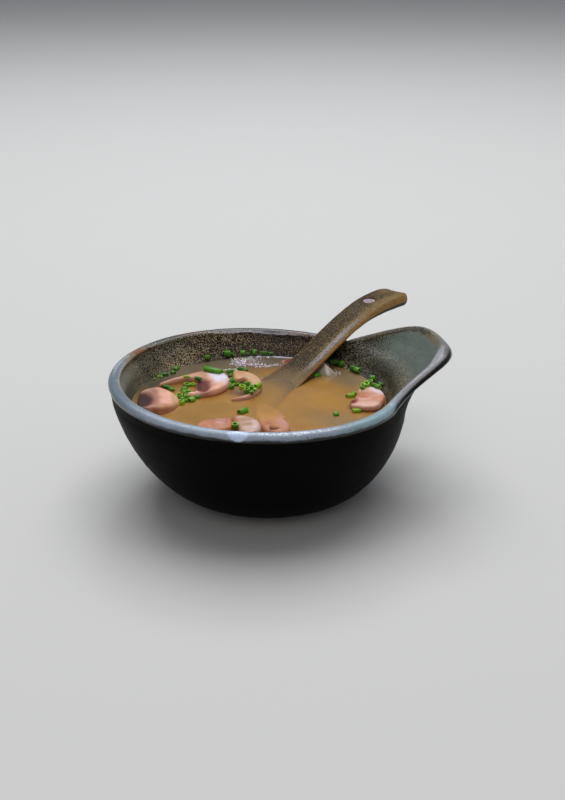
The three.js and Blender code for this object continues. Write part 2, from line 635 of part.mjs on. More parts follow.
// every piece in the soup, fattened by the gap, is cut out of it
const tofuSlab = new THREE.BoxGeometry(...TOFU_SIZE);
const obstacles = [toSolid(inflated(spoonGeometry(), 1.2 * GAP))];
for (const slice of SLICES) {
  obstacles.push(toSolid(inflated(sliceGeometry(slice), GAP).applyMatrix4(slicePlace(slice).matrix)));
}
obstacles.push(toSolid(inflated(tofuSlab, GAP).applyMatrix4(tofuPlace().matrix)));
let soup = soupBody();
for (const solid of obstacles) soup = soup.subtract(solid);

// floating chives join the soup where they are clear of everything else
for (const { x, y, rod } of chives.filter((chive) => chive.on === 'soup')) {
  const solid = toSolid(rod.translate(x, y, SOUP_LEVEL + 0.25));
  const clearOfWall = Math.hypot(x, y) + 2 < innerRadius(SOUP_LEVEL, Math.atan2(y, x));
  const clearOfPieces = obstacles.every((obstacle) => obstacle.intersect(solid).volume() < 1e-6);
  if (clearOfWall && clearOfPieces) soup = soup.add(solid);
}
addMesh(group, 'soup', fromSolid(soup), clay(0xa57c45, 0.25));

SLICES.forEach((slice, k) => {
  const place = slicePlace(slice);
  const intoSlice = place.matrix.clone().invert();
  let solid = toSolid(sliceGeometry(slice));
  for (const { x, y, radius, rod } of chives.filter((chive) => chive.on === k + 1)) {
    const inPlane = new THREE.Vector3(x, y, slice.z).applyMatrix4(intoSlice);
    const top = new THREE.Vector3(inPlane.x, inPlane.y, slice.thick / 2 + 0.4 * radius).applyMatrix4(place.matrix);
    solid = solid.add(toSolid(rod.translate(top.x, top.y, top.z).applyMatrix4(intoSlice)));
  }
  const mesh = addMesh(group, `mushroom_slice_${k + 1}`, fromSolid(solid), clay(0xd9a184, 0.5));
  mesh.position.copy(place.position);
  mesh.rotation.copy(place.rotation);
});

const tofu = addMesh(group, 'tofu', tofuSlab, clay(0xd8cdb8, 0.6));
tofu.position.copy(tofuPlace().position);
tofu.quaternion.copy(tofuPlace().quaternion);

// stand the whole dish centred over the origin
group.updateMatrixWorld(true);
const box = new THREE.Box3().setFromObject(group);
group.position.set(-(box.min.x + box.max.x) / 2, -(box.min.y + box.max.y) / 2, -box.min.z);
group.updateMatrixWorld(true);

export default group;
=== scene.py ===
"""Miso soup in a stoneware bowl with a pulled-up lip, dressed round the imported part.

Every size below is in millimetres in the dish's own frame: the middle of the bowl's rim is over the origin,
the lip points along +X and z is the height over the table. ``Dish.place`` carries points into the part's
frame, in metres. Each class holds one thing on the table, with the sizes that its solid has, and builds its
fine surface.
"""

from __future__ import annotations

import logging
import math
from dataclasses import dataclass, field
from enum import Enum
from typing import Callable, Sequence

import bpy
import numpy as np
from mathutils import Matrix, Vector, geometry
from numpy.typing import NDArray


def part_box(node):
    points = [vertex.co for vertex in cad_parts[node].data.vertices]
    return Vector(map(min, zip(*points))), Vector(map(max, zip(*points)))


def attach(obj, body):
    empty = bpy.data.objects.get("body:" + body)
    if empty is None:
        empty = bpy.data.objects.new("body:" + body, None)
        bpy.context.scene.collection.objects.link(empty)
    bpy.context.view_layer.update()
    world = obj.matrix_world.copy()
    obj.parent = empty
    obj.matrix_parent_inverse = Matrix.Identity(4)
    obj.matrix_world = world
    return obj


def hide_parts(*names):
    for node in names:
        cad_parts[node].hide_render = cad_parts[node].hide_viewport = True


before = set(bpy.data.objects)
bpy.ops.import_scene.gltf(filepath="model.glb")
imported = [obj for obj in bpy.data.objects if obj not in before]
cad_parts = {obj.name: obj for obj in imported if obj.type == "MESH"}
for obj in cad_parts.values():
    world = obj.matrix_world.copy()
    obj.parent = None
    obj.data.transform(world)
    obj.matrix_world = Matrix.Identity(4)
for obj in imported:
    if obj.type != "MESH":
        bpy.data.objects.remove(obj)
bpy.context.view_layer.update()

Array = NDArray[np.float64]
Numbers = NDArray[np.int64]
Colour = tuple[float, float, float, float]
Pair = tuple[float, float]
Triple = tuple[float, float, float]
Knots = Sequence[Pair]
Socket = bpy.types.NodeSocket
Material = bpy.types.Material

MM = 0.001
DEG = math.pi / 180
FULL_TURN = 2 * math.pi
SOUP_LEVEL = 41.5
GAP = 0.3  # between the soup's sides and the bowl
RIGHTWARD = -10.7 * DEG  # the way that is rightward in the dish's main view
BOWL_LEFT = 66.64  # from the bowl's axis to its side away from the lip

log = logging.getLogger("miso_soup")


# --- numbers and curves


def srgb(red: float, green: float, blue: float) -> Colour:
    """Linear colour, with full alpha, of an sRGB one given from 0 to 255."""
    channels = [c / 255 for c in (red, green, blue)]
    linear = [c / 12.92 if c <= 0.04045 else ((c + 0.055) / 1.055) ** 2.4 for c in channels]
    return (linear[0], linear[1], linear[2], 1.0)


def ramp(low: float, high: float, x: Array | float) -> Array:
    """Smooth step: 0 below low, 1 above high, 3t^2 - 2t^3 between."""
    t = np.clip((np.asarray(x, float) - low) / (high - low), 0, 1)
    return t * t * (3 - 2 * t)


def bell(x: Array, width: float, power: int = 2) -> Array:
    """Bell curve e^-|x / width|^power, whose sides are steeper with a higher power."""
    return np.exp(-(np.abs(x / width) ** power))


def fade(x: Array, length: Array | float) -> Array:
    """Fades from 1 at and below 0, by e over each length."""
    return np.exp(-np.clip(x, 0, None) / length)


def rounded(reach: Array, over: float, power: float = 2.0) -> Array:
    """Superellipse from 0 at an end to 1 where the reach from it comes to the given length."""
    left = np.clip(1 - reach / over, 0, 1)
    return np.clip(1 - left**power, 0, 1) ** (1 / power)


def coat(colour: Colour, places: Array) -> Array:
    """One colour at every place."""
    return np.broadcast_to(np.array(colour[:3]), (*places.shape[:-1], 3))


def layered(ground: Array, *layers: tuple[Colour | Array, Array]) -> Array:
    """The ground's colours with others laid over them in turn, each by its own share."""
    for colour, share in layers:
        ground = ground + (np.asarray(colour, float)[..., :3] - ground) * share[..., None]
    return ground


def with_alpha(colours: Array) -> Array:
    """Colours with a full alpha channel."""
    return np.concatenate([colours[..., :3], np.ones_like(colours[..., :1])], -1)


def angle_from(azimuth: Array, middle: float) -> Array:
    """Angle of each azimuth from a middle one, between -pi and pi."""
    return np.arctan2(np.sin(azimuth - middle), np.cos(azimuth - middle))


def around(radius: Array | float, azimuth: Array) -> Array:
    """Places in plan at radii and azimuths."""
    return np.stack([radius * np.cos(azimuth), radius * np.sin(azimuth)], -1)


def hermite(t: Array | float, start: Array, leave: Array, end: Array, arrive: Array) -> Array:
    """Cubic curve from start to end, with the slopes that it leaves and arrives with.

    It is (2t^3 - 3t^2 + 1) start + (t^3 - 2t^2 + t) leave + (3t^2 - 2t^3) end + (t^3 - t^2) arrive.
    """
    from_start = (2 * t**3 - 3 * t**2 + 1) * start + (t**3 - 2 * t**2 + t) * leave
    return from_start + (3 * t**2 - 2 * t**3) * end + (t**3 - t**2) * arrive


def through_knots(knots: Knots, x: Array | float) -> Array:
    """Hermite curve through (x, y) knots, whose slope at a knot is that of the chord between its neighbours.

    Args:
        knots: Pairs in rising order of x.
        x: Where to read the curve; it stays level beyond the first and last knot.

    Returns:
        The curve's height at each x.
    """
    kx, ky = np.array(knots, float).T
    number, last = np.arange(len(kx)), len(kx) - 1
    before, after = np.maximum(number - 1, 0), np.minimum(number + 1, last)
    slope = (ky[after] - ky[before]) / (kx[after] - kx[before])
    x = np.clip(np.asarray(x, float), kx[0], kx[-1])
    i = np.clip(np.searchsorted(kx, x, side="right") - 1, 0, last - 1)
    h = kx[i + 1] - kx[i]
    return hermite((x - kx[i]) / h, ky[i], h * slope[i], ky[i + 1], h * slope[i + 1])


def waves(points: Array, pitch: float, seed: int, octaves: int = 3) -> Array:
    """Smooth random field: a sum of sine products along random directions, halved in height each octave.

    Args:
        points: Places in millimetres, one a row, of two or three coordinates.
        pitch: Length of the longest waves.
        seed: Which field.
        octaves: How many times the pitch is halved.

    Returns:
        Values mostly between -1 and 1.
    """
    random = np.random.default_rng(seed)
    total, height, norm = np.zeros(len(points)), 1.0, 0.0
    for _ in range(octaves):
        for _ in range(4):
            a, b = random.normal(size=(2, points.shape[1]))
            a, b = (v / np.linalg.norm(v) * FULL_TURN / pitch for v in (a, b))
            p, q = random.uniform(0, FULL_TURN, 2)
            total += height * np.sin(points @ a + p) * np.sin(points @ b * 0.7 + q) / 2
        norm += height
        height, pitch = height / 2, pitch / 2
    return total / norm


def signed_distance(points: Array, outline: Array) -> Array:
    """Distance to a closed outline, positive inside it.

    A point is inside where the ray from it toward +X crosses the outline an odd number of times.
    """
    best, inside = np.full(len(points), np.inf), np.zeros(len(points), bool)
    for (ax, ay), (bx, by) in zip(outline, np.roll(outline, -1, axis=0)):
        dx, dy = bx - ax, by - ay
        x, y = points[:, 0] - ax, points[:, 1] - ay
        t = np.clip((x * dx + y * dy) / (dx * dx + dy * dy + 1e-12), 0, 1)
        best = np.minimum(best, np.hypot(x - t * dx, y - t * dy))
        if ay != by:
            crosses = (points[:, 1] > min(ay, by)) & (points[:, 1] <= max(ay, by))
            inside ^= crosses & (points[:, 0] < ax + y / dy * dx)
    return np.where(inside, best, -best)


def closed_curve(corners: Array, spacing: float) -> Array:
    """Catmull-Rom curve round a closed polygon, sampled at about one spacing."""
    before, after, far = (np.roll(corners, k, axis=0) for k in (1, -1, -2))
    parts = []
    for p0, p1, p2, p3 in zip(before, corners, after, far):
        last, chord, following = (np.linalg.norm(d) for d in (p1 - p0, p2 - p1, p3 - p2))
        steps = max(2, round(float(chord) / spacing))
        t = (np.arange(steps) / steps)[:, None]
        leave = (p2 - p0) * chord / (chord + last)
        arrive = (p3 - p1) * chord / (chord + following)
        parts.append(hermite(t, p1, leave, p2, arrive))
    return np.vstack(parts)


def inward_of(line: Array) -> Array:
    """Unit vectors toward the inside of an anticlockwise closed line, square to it at its points."""
    along = np.roll(line, -1, axis=0) - np.roll(line, 1, axis=0)
    along /= np.linalg.norm(along, axis=1)[:, None]
    return np.stack([-along[:, 1], along[:, 0]], -1)


# --- meshes


def grid_faces(rows: int, columns: int, wrap_rows: bool = False, wrap_columns: bool = True) -> Numbers:
    """Quads between the neighbours of a grid of points that is stored row by row."""
    i = np.arange(rows if wrap_rows else rows - 1)[:, None]
    j = np.arange(columns if wrap_columns else columns - 1)[None, :]
    i2, j2 = (i + 1) % rows, (j + 1) % columns
    corners = (i * columns + j, i * columns + j2, i2 * columns + j2, i2 * columns + j)
    return np.stack(np.broadcast_arrays(*corners), -1).reshape(-1, 4)


def fan_faces(centre: int, ring: Numbers, flip: bool = False) -> Numbers:
    """Triangles from one point to each step of a closed ring of points."""
    after = np.roll(ring, -1)
    middle = np.full(len(ring), centre)
    return np.stack([middle, after, ring] if flip else [middle, ring, after], -1)


def capped_faces(rows: int, columns: int) -> list[Numbers]:
    """Faces of a round grid whose first and last rows close onto the two points that follow its own."""
    ring, count = np.arange(columns), rows * columns
    caps = [fan_faces(count, ring, flip=True), fan_faces(count + 1, count - columns + ring)]
    return [grid_faces(rows, columns), *caps]


def strip_faces(rings: Numbers) -> Numbers:
    """Quads between each closed ring of point numbers and the next."""
    above, below = rings[:-1], rings[1:]
    corners = (above, below, np.roll(below, -1, axis=1), np.roll(above, -1, axis=1))
    return np.stack(corners, -1).reshape(-1, 4)


def put(name: str, data: bpy.types.ID) -> bpy.types.Object:
    """Makes an object of a mesh, lamp or camera, and puts it in the scene."""
    made = bpy.data.objects.new(name, data)
    bpy.context.scene.collection.objects.link(made)
    return made


@dataclass
class Skin:
    """Points and faces of one piece, with what its material reads at each point."""

    points: Array
    faces: list[Numbers]
    values: dict[str, Array] = field(default_factory=dict)
    slots: list[Numbers] | None = None

    def volume(self) -> float:
        """Volume that the faces enclose, negative where they point inward."""
        total = 0.0
        for faces in self.faces:
            for k in range(1, faces.shape[1] - 1):
                a, b, c = (self.points[faces[:, m]] for m in (0, k, k + 1))
                total += float(np.einsum("ij,ij->i", a, np.cross(b, c)).sum()) / 6
        return total

    def face_outward(self) -> None:
        """Turns the faces over if they point inward."""
        if self.volume() < 0:
            self.faces = [faces[:, ::-1] for faces in self.faces]

    @staticmethod
    def joined(skins: Sequence[Skin]) -> Skin:
        """One skin of several that carry the same values."""
        starts = np.cumsum([0] + [len(s.points) for s in skins])
        faces = [f + start for s, start in zip(skins, starts) for f in s.faces]
        values = {k: np.concatenate([s.values[k] for s in skins]) for k in skins[0].values}
        return Skin(np.vstack([s.points for s in skins]), faces, values)


class Dish:
    """The dish's frame, and the making of its pieces."""

    def __init__(self) -> None:
        """Finds the bowl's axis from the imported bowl's box."""
        low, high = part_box("bowl")
        self.origin = np.array([low[0] / MM + BOWL_LEFT, (low[1] + high[1]) / 2 / MM, 0.0])

    def place(self, points: Array) -> Array:
        """Points of the dish's frame as metres in the part's frame."""
        return (np.asarray(points, float) + self.origin) * MM

    def piece(
        self,
        name: str,
        skin: Skin,
        materials: Sequence[Material],
        stands_for: Sequence[str],
        slot: str,
    ) -> bpy.types.Object:
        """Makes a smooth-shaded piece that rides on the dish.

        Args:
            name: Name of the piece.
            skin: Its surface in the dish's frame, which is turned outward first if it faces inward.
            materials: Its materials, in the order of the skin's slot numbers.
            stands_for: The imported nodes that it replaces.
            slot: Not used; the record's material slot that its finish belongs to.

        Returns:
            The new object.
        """
        skin.face_outward()
        mesh = bpy.data.meshes.new(name)
        mesh.vertices.add(len(skin.points))
        mesh.vertices.foreach_set("co", self.place(skin.points).astype(np.float32).ravel())
        corners = np.concatenate([f.ravel() for f in skin.faces]).astype(np.int32)
        totals = np.concatenate([np.full(len(f), f.shape[1]) for f in skin.faces]).astype(np.int32)
        mesh.loops.add(len(corners))
        mesh.loops.foreach_set("vertex_index", corners)
        mesh.polygons.add(len(totals))
        mesh.polygons.foreach_set("loop_start", (np.cumsum(totals) - totals).astype(np.int32))
        mesh.polygons.foreach_set("loop_total", totals)
        if skin.slots:
            mesh.polygons.foreach_set("material_index", np.concatenate(skin.slots).astype(np.int32))
        for key, values in skin.values.items():
            kind, prop = ("FLOAT", "value") if values.ndim == 1 else ("FLOAT_COLOR", "color")
            layer = mesh.attributes.new(key, kind, "POINT")
            layer.data.foreach_set(prop, values.astype(np.float32).ravel())
        mesh.update(calc_edges=True)
        mesh.shade_smooth()
        piece = put(name, mesh)
        for material in materials:
            mesh.materials.append(material)
        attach(piece, "root")
        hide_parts(*stands_for)
        log.info("%s: %d points, %d faces", name, len(mesh.vertices), len(mesh.polygons))
        return piece


# --- shading


class SocketKind(Enum):
    """What a group's socket carries."""

    NUMBER = "NodeSocketFloat"
    COLOUR = "NodeSocketColor"
    PLACE = "NodeSocketVector"


class Nodes:
    """Writes shader nodes into a tree: a socket is given as a value or as another node's output."""

    def __init__(self, tree: bpy.types.NodeTree) -> None:
        """Starts writing into the tree."""
        self.tree = tree

    def add(
        self, kind: str, inputs: dict[str | int, object] | None = None, **settings: object
    ) -> bpy.types.Node:
        """Adds one node.

        Args:
            kind: The node's type, without its ShaderNode prefix.
            inputs: Value or output for each input, by name or number.
            settings: The node's own properties.

        Returns:
            The node.
        """
        node = self.tree.nodes.new("ShaderNode" + kind)
        for key, value in settings.items():
            setattr(node, key, value)
        for key, value in (inputs or {}).items():
            if isinstance(value, Socket):
                self.tree.links.new(value, node.inputs[key])
            else:
                node.inputs[key].default_value = value
        return node

    def math(self, operation: str, *values: object, clamp: bool = False) -> Socket:
        """One sum on up to three numbers."""
        return self.add("Math", dict(enumerate(values)), operation=operation, use_clamp=clamp).outputs[0]

    def times(self, first: object, *others: object) -> Socket:
        """Product of several numbers."""
        for other in others:
            first = self.math("MULTIPLY", first, other)
        return first

    def mix(self, share: object, a: object, b: object, how: str = "MIX") -> Socket:
        """Two colours mixed by a share."""
        return self.add("Mix", {0: share, 6: a, 7: b}, data_type="RGBA", blend_type=how).outputs[2]

    def steps(self, value: object, low: float, high: float, to: Pair = (0, 1)) -> Socket:
        """A value carried smoothly from one range to another, and held beyond it."""
        inputs = {"Value": value, "From Min": low, "From Max": high, "To Min": to[0], "To Max": to[1]}
        return self.add("MapRange", inputs, interpolation_type="SMOOTHSTEP").outputs[0]

    def value(self, name: str) -> Socket:
        """A number that the piece's points carry."""
        return self.add("Attribute", attribute_name=name).outputs["Fac"]

    def colour(self, name: str) -> Socket:
        """A colour that the piece's points carry."""
        return self.add("Attribute", attribute_name=name).outputs["Color"]

    def place(self) -> Socket:
        """Where a point is on its object, in metres."""
        return self.add("TexCoord").outputs["Object"]

    def height(self) -> Socket:
        """How high a point is on its object, in metres."""
        return self.add("SeparateXYZ", {0: self.place()}).outputs[2]

    def noise(self, scale: object, place: object, detail: float = 2.0, warp: float = 0.0) -> Socket:
        """Noise from 0 to 1, with so many lumps to a metre."""
        inputs = {"Vector": place, "Scale": scale, "Detail": detail, "Distortion": warp}
        return self.add("TexNoise", inputs).outputs["Fac"]


Takes = dict[str, object]
Writer = Callable[[Nodes, Takes], dict[str, Socket]]


def effect(name: str, takes: Takes, gives: dict[str, SocketKind], write: Writer) -> bpy.types.NodeTree:
    """Makes a shader node group.

    Args:
        name: Name of the group.
        takes: Default of each input: a number, a colour, or None for a place.
        gives: What each output carries.
        write: Called with the node writer and the inputs by name; gives each output's socket.

    Returns:
        The group's tree.
    """
    tree = bpy.data.node_groups.new(name, "ShaderNodeTree")
    kinds = {float: SocketKind.NUMBER, tuple: SocketKind.COLOUR, type(None): SocketKind.PLACE}
    for key, default in takes.items():
        made = tree.interface.new_socket(key, in_out="INPUT", socket_type=kinds[type(default)].value)
        if default is not None:
            made.default_value = default
    for key, kind in gives.items():
        tree.interface.new_socket(key, in_out="OUTPUT", socket_type=kind.value)
    source = tree.nodes.new("NodeGroupInput")
    sink = tree.nodes.new("NodeGroupOutput")
    for key, value in write(Nodes(tree), {key: source.outputs[key] for key in takes}).items():
        tree.links.new(value, sink.inputs[key])
    return tree


class Effects:
    """Node groups that more than one finish uses."""

    def __init__(self) -> None:
        """Builds each group once."""
        self.specks = effect(
            "iron specks",
            {"Place": None, "Pitch": 0.001, "Cover": 0.5, "Softness": 0.05},
            {"Specks": SocketKind.NUMBER, "Relief": SocketKind.NUMBER},
            self._specks,
        )
        self.rust = effect(
            "rust breaks",
            {"Place": None, "Edge": 0.0, "Amount": 0.5},
            {"Rust": SocketKind.NUMBER},
            self._rust,
        )
        self.flecks = effect(
            "fine grain",
            {"Place": None, "Pitch": 0.0005, "Colour": (0.5, 0.5, 0.5, 1.0), "Strength": 0.2},
            {"Colour": SocketKind.COLOUR, "Relief": SocketKind.NUMBER},
            self._flecks,
        )

    @staticmethod
    def _specks(nodes: Nodes, takes: Takes) -> dict[str, Socket]:
        """Short worm-like specks: warped noise cut at a level that lets Cover of it through.

        The level is 0.72 - 0.44 Cover + 0.12 (patch - 0.5), where patch is a noise nine times as wide.
        """
        fine = nodes.noise(nodes.math("DIVIDE", 1.0, takes["Pitch"]), takes["Place"], 0.6, 0.5)
        patch = nodes.noise(nodes.math("DIVIDE", 1 / 9, takes["Pitch"]), takes["Place"], 1.0)
        level = nodes.math("MULTIPLY_ADD", takes["Cover"], -0.44, 0.72)
        level = nodes.math("ADD", level, nodes.math("MULTIPLY_ADD", patch, 0.12, -0.06))
        over = nodes.math("SUBTRACT", fine, level)
        specks = nodes.math("ADD", nodes.math("DIVIDE", over, takes["Softness"]), 0.5, clamp=True)
        return {"Specks": specks, "Relief": nodes.times(specks, -1.0)}

    @staticmethod
    def _rust(nodes: Nodes, takes: Takes) -> dict[str, Socket]:
        """Rust where the glaze ran thin: the edge's closeness times a patchy and a fine noise."""
        patch = nodes.noise(1 / (7.0 * MM), takes["Place"], 1.0)
        fine = nodes.noise(1 / (0.9 * MM), takes["Place"], 2.0, 0.4)
        both = nodes.math("ADD", nodes.times(patch, 0.75), nodes.times(fine, 0.45))
        both = nodes.math("ADD", both, nodes.times(takes["Amount"], 0.5))
        return {"Rust": nodes.math("MULTIPLY", nodes.steps(both, 0.78, 1.0), takes["Edge"], clamp=True)}

    @staticmethod
    def _flecks(nodes: Nodes, takes: Takes) -> dict[str, Socket]:
        """A colour made lighter and darker by fine noise."""
        fine = nodes.noise(nodes.math("DIVIDE", 1.0, takes["Pitch"]), takes["Place"], 3.0)
        swing = nodes.times(nodes.math("SUBTRACT", fine, 0.5), takes["Strength"])
        light = nodes.math("ADD", swing, 1.0)
        grey = nodes.add("CombineColor", {0: light, 1: light, 2: light}).outputs[0]
        return {"Colour": nodes.mix(1.0, takes["Colour"], grey, "MULTIPLY"), "Relief": fine}


class Finish:
    """A material that is written node by node round one Principled shader."""

    def __init__(self, name: str, effects: Effects) -> None:
        """Starts an empty material."""
        self.material = bpy.data.materials.new(name)
        self.material.use_nodes = True
        self.material.node_tree.nodes.clear()
        self.nodes = Nodes(self.material.node_tree)
        self.effects = effects

    def use(self, group: bpy.types.NodeTree, **inputs: object) -> bpy.types.Node:
        """Places a shared effect, which works at the object's own places."""
        return self.nodes.add("Group", {"Place": self.nodes.place(), **inputs}, node_tree=group)

    def specks(self, pitch: float, cover: object, softness: float = 0.05) -> bpy.types.Node:
        """Specks at a pitch in millimetres, as Specks and Relief."""
        return self.use(self.effects.specks, Pitch=pitch * MM, Cover=cover, Softness=softness)

    def grain(self, pitch: float, colour: object, strength: float) -> bpy.types.Node:
        """A colour with grain at a pitch in millimetres, as Colour and Relief."""
        return self.use(self.effects.flecks, Pitch=pitch * MM, Colour=colour, Strength=strength)

    def surface(
        self, height: Socket | None = None, depth: float = 0.1, **inputs: object
    ) -> Material:
        """Ends the material in its shader.

        Args:
            height: What the bump follows, if it has one.
            depth: How deep the bump is, in millimetres.
            inputs: The shader's sockets, with _ for a space in the name.

        Returns:
            The material.
        """
        named = {key.replace("_", " "): value for key, value in inputs.items()}
        if height is not None:
            bump = self.nodes.add("Bump", {"Strength": 1.0, "Distance": depth * MM, "Height": height})
            named["Normal"] = bump.outputs[0]
        shader = self.nodes.add("BsdfPrincipled", named)
        self.nodes.add("OutputMaterial", {"Surface": shader.outputs[0]})
        return self.material


@dataclass(frozen=True)
class Look:
    """How one kind of stuff looks, with the effects that it shares with others."""

    effects: Effects


# --- bowl


@dataclass(frozen=True)
class Dent:
    """A place where a turned radius is smaller: by so much, at an azimuth, over a spread of angles."""

    by: float
    at: float
    spread: float

    def depth(self, azimuth: Array) -> Array:
        """Bell curve over the angle from the dent's middle."""
        return self.by * bell(angle_from(azimuth, self.at), self.spread)


@dataclass(frozen=True)
class WheelMarks:
    """Ridges from the potter's wheel: sines of the height that sway once round the bowl."""

    height: float
    pitch: float
    sway: float
    turned: float
    grow: Pair

    def rise(self, azimuth: Array, z: Array) -> Array:
        """How far the ridges stand, growing from nothing between two heights."""
        sway = self.sway * np.sin(azimuth + self.turned)
        return self.height * np.sin(FULL_TURN * z / self.pitch + sway) * ramp(*self.grow, z)


@dataclass
class Bowl:
    """The stoneware bowl with its pulled-up lip."""

    rim_radius: float = 67.5
    rim_height: float = 53.8
    rim_dip: float = 0.03
    rim_thickness: float = 5.6
    rim_flat: Dent = Dent(1.1, 160 * DEG, 32 * DEG)
    wall_flat: Dent = Dent(1.6, -10 * DEG, 40 * DEG)
    crest_profile: Knots = ((0.7, 0.15), (0.42, 0.0), (0.16, 0.5), (0.02, 1.6))  # share inward, drop
    foot_radius: float = 33.0
    foot_shift: float = 4.6
    foot_height: float = 1.8
    foot_ring_width: float = 6.0
    foot_recess: float = 1.5
    foot_bevel: Pair = (0.6, 0.5)
    recess_slope: float = 1.2
    wall_start_radius: float = 36.5
    wall_top_drop: float = 1.5
    floor_height: float = 9.0
    floor_radius: float = 20.0
    floor_ring: float = 0.55  # share of the floor's radius
    inside_crowding: float = 1.5
    shoulder_drop: float = 2.6
    shoulder_radius: float = 62.0
    outer_power: float = 1.85
    inner_power: float = 1.2
    belly_power: float = 1.5
    wall_dents: tuple[Dent, Dent] = (Dent(2.6, 30 * DEG, 28 * DEG), Dent(2.6, 132 * DEG, 26 * DEG))
    lip_half_angle: float = 39.8 * DEG
    lip_reach: float = 86.3
    lip_rise: float = 14.0
    lip_rise_power: float = 0.71
    lip_edge_angle: float = 32.1 * DEG
    lip_edge_pull: float = 28.1
    lip_end_pull: float = 28.8
    lip_sag: float = 1.2
    near_lip_in: Dent = Dent(1.1, -24 * DEG, 15 * DEG)
    near_lip_up: Dent = Dent(1.5, -24 * DEG, 15 * DEG)
    flare_inset: float = 0.92  # share of the rim's thickness
    flare_drop: float = 0.9
    flare_rings: tuple[float, ...] = (0.35, 0.7, 1.0)
    edge_depth: float = 2.8
    underside_tuck: float = 0.66
    underside_drop: float = 9.5
    underside_rings: tuple[float, ...] = (0.3, 0.65, 1.0)
    inside_marks: WheelMarks = WheelMarks(0.07, 4.6, 1.6, 0.0, (12, 20))
    outside_marks: WheelMarks = WheelMarks(0.025, 6.2, 1.1, math.pi / 2, (3, 8))
    wobble: float = 0.16
    drop_height: float = 0.7
    inside_rings: int = 8
    outside_rings: int = 8
    outside_crowding: float = 1.4
    lip_columns: int = 150
    wall_columns: int = 300
    spacing: float = 1.05

    def rim(self) -> tuple[Array, Array, Array, Array]:
        """The rim seen from above, once round from azimuth -180 degrees.

        Round the bowl it is a circle; each edge of the lip is a cubic Bezier curve from the circle to the
        lip's end. It rises with a power of how far it reaches out past the circle.

        Returns:
            Points, unit vectors toward the inside, rise over the plain rim, and azimuths.
        """
        a, e = self.lip_half_angle, self.lip_edge_angle
        start = self.rim_radius * np.array([math.cos(a), math.sin(a)])
        pull = start + self.lip_edge_pull * np.array([math.cos(e), -math.sin(e)])
        end_pull, end = np.array([self.lip_reach, self.lip_end_pull]), np.array([self.lip_reach, 0.0])
        half = self.lip_columns // 2
        t = (np.arange(1, half + 1) / half)[:, None]
        edge = (1 - t) ** 3 * start + 3 * t * (1 - t) ** 2 * pull + 3 * t**2 * (1 - t) * end_pull + t**3 * end
        lip = np.vstack([edge, edge[:-1] * [1, -1]])
        turn = a + (FULL_TURN - 2 * a) * np.arange(self.wall_columns + 1) / self.wall_columns
        points = np.vstack([lip, around(self.rim_radius - self.rim_flat.depth(turn), turn)])
        reach = (np.hypot(*lip.T) - self.rim_radius) / (self.lip_reach - self.rim_radius)
        rise = np.zeros(len(points))
        rise[: len(lip)] = self.lip_rise * np.clip(reach, 0, 1) ** self.lip_rise_power
        azimuth = np.arctan2(points[:, 1], points[:, 0])
        order = np.argsort(azimuth)
        points, rise, azimuth = points[order], rise[order], azimuth[order]
        return points, inward_of(points), rise, azimuth

    def wall_curve(self, height: Array | float, power: float) -> Array | float:
        """Share of the way from the foot's radius to the rim's, at a share of the height."""
        return (1 - (1 - height) ** power) ** (1 / self.belly_power)

    def outer_radius(self, z: float) -> float:
        """Outside of the wall at a height: a full belly that closes quickly onto the foot."""
        top = self.rim_height - self.wall_top_drop
        t = min(1.0, max(0.0, (z - self.foot_height) / (top - self.foot_height)))
        wide = self.rim_radius - self.wall_start_radius
        return self.wall_start_radius + wide * self.wall_curve(t, self.outer_power)

    def inner_radius(self, z: Array | float, azimuth: Array) -> Array:
        """Inside of the wall at a height and azimuth: a bowl curve, less dents that fade at floor and top."""
        top = self.rim_height - self.shoulder_drop
        t = np.clip((np.asarray(z, float) - self.floor_height) / (top - self.floor_height), 0, 1)
        wide = self.shoulder_radius - self.floor_radius
        fading = np.sin(math.pi * np.minimum(1, 1.1 * t))
        dents = sum(dent.depth(azimuth) for dent in self.wall_dents) * fading
        return self.floor_radius + wide * self.wall_curve(t, self.inner_power) - dents

    def inside_levels(self) -> list[float]:
        """Heights of the rings of the inner wall."""
        deep, count = SOUP_LEVEL - self.floor_height, self.inside_rings
        below = [self.floor_height + deep * (k / count) ** self.inside_crowding for k in range(count)]
        top = self.rim_height - self.shoulder_drop
        return below + [SOUP_LEVEL, (SOUP_LEVEL + top) / 2, top]

    def skew(self, z: float) -> Pair:
        """How far the outside's axis has moved toward the foot's middle at a height."""
        return (self.foot_shift * (1 - z / self.rim_height), 0.0)

    def rings(self) -> tuple[Array, NDArray[np.bool_], int]:
        """The rings that the surface runs through, from the inner floor over the rim to the foot's recess.

        Returns:
            Points by ring and column, which rings are sharp corners, and the number of the crest's ring.
        """
        rim, inward, rise, azimuth = self.rim()
        rim = rim + inward * self.near_lip_in.depth(azimuth)[:, None]
        rise = rise + self.near_lip_up.depth(azimuth)
        circle, dip = around(1.0, azimuth), -self.rim_dip
        crest_height = self.rim_height + dip * rim[:, 0] + rise
        shoulder = self.rim_height - self.shoulder_drop
        rim_flat, wall_flat = self.rim_flat.depth(azimuth), self.wall_flat.depth(azimuth)
        made: list[Array] = []
        sharp: list[bool] = []

        def ring(plan: Array, z: Array | float, corner: bool = False) -> None:
            """Adds a ring of places in plan at their heights."""
            made.append(np.column_stack([plan, np.broadcast_to(z, len(plan))]))
            sharp.append(corner)

        ring(self.floor_ring * self.floor_radius * circle, self.floor_height)
        for z in self.inside_levels():
            plan = self.inner_radius(z, azimuth)[:, None] * circle
            ring(plan, z + dip * plan[:, 0] * ramp(SOUP_LEVEL, shoulder, z))

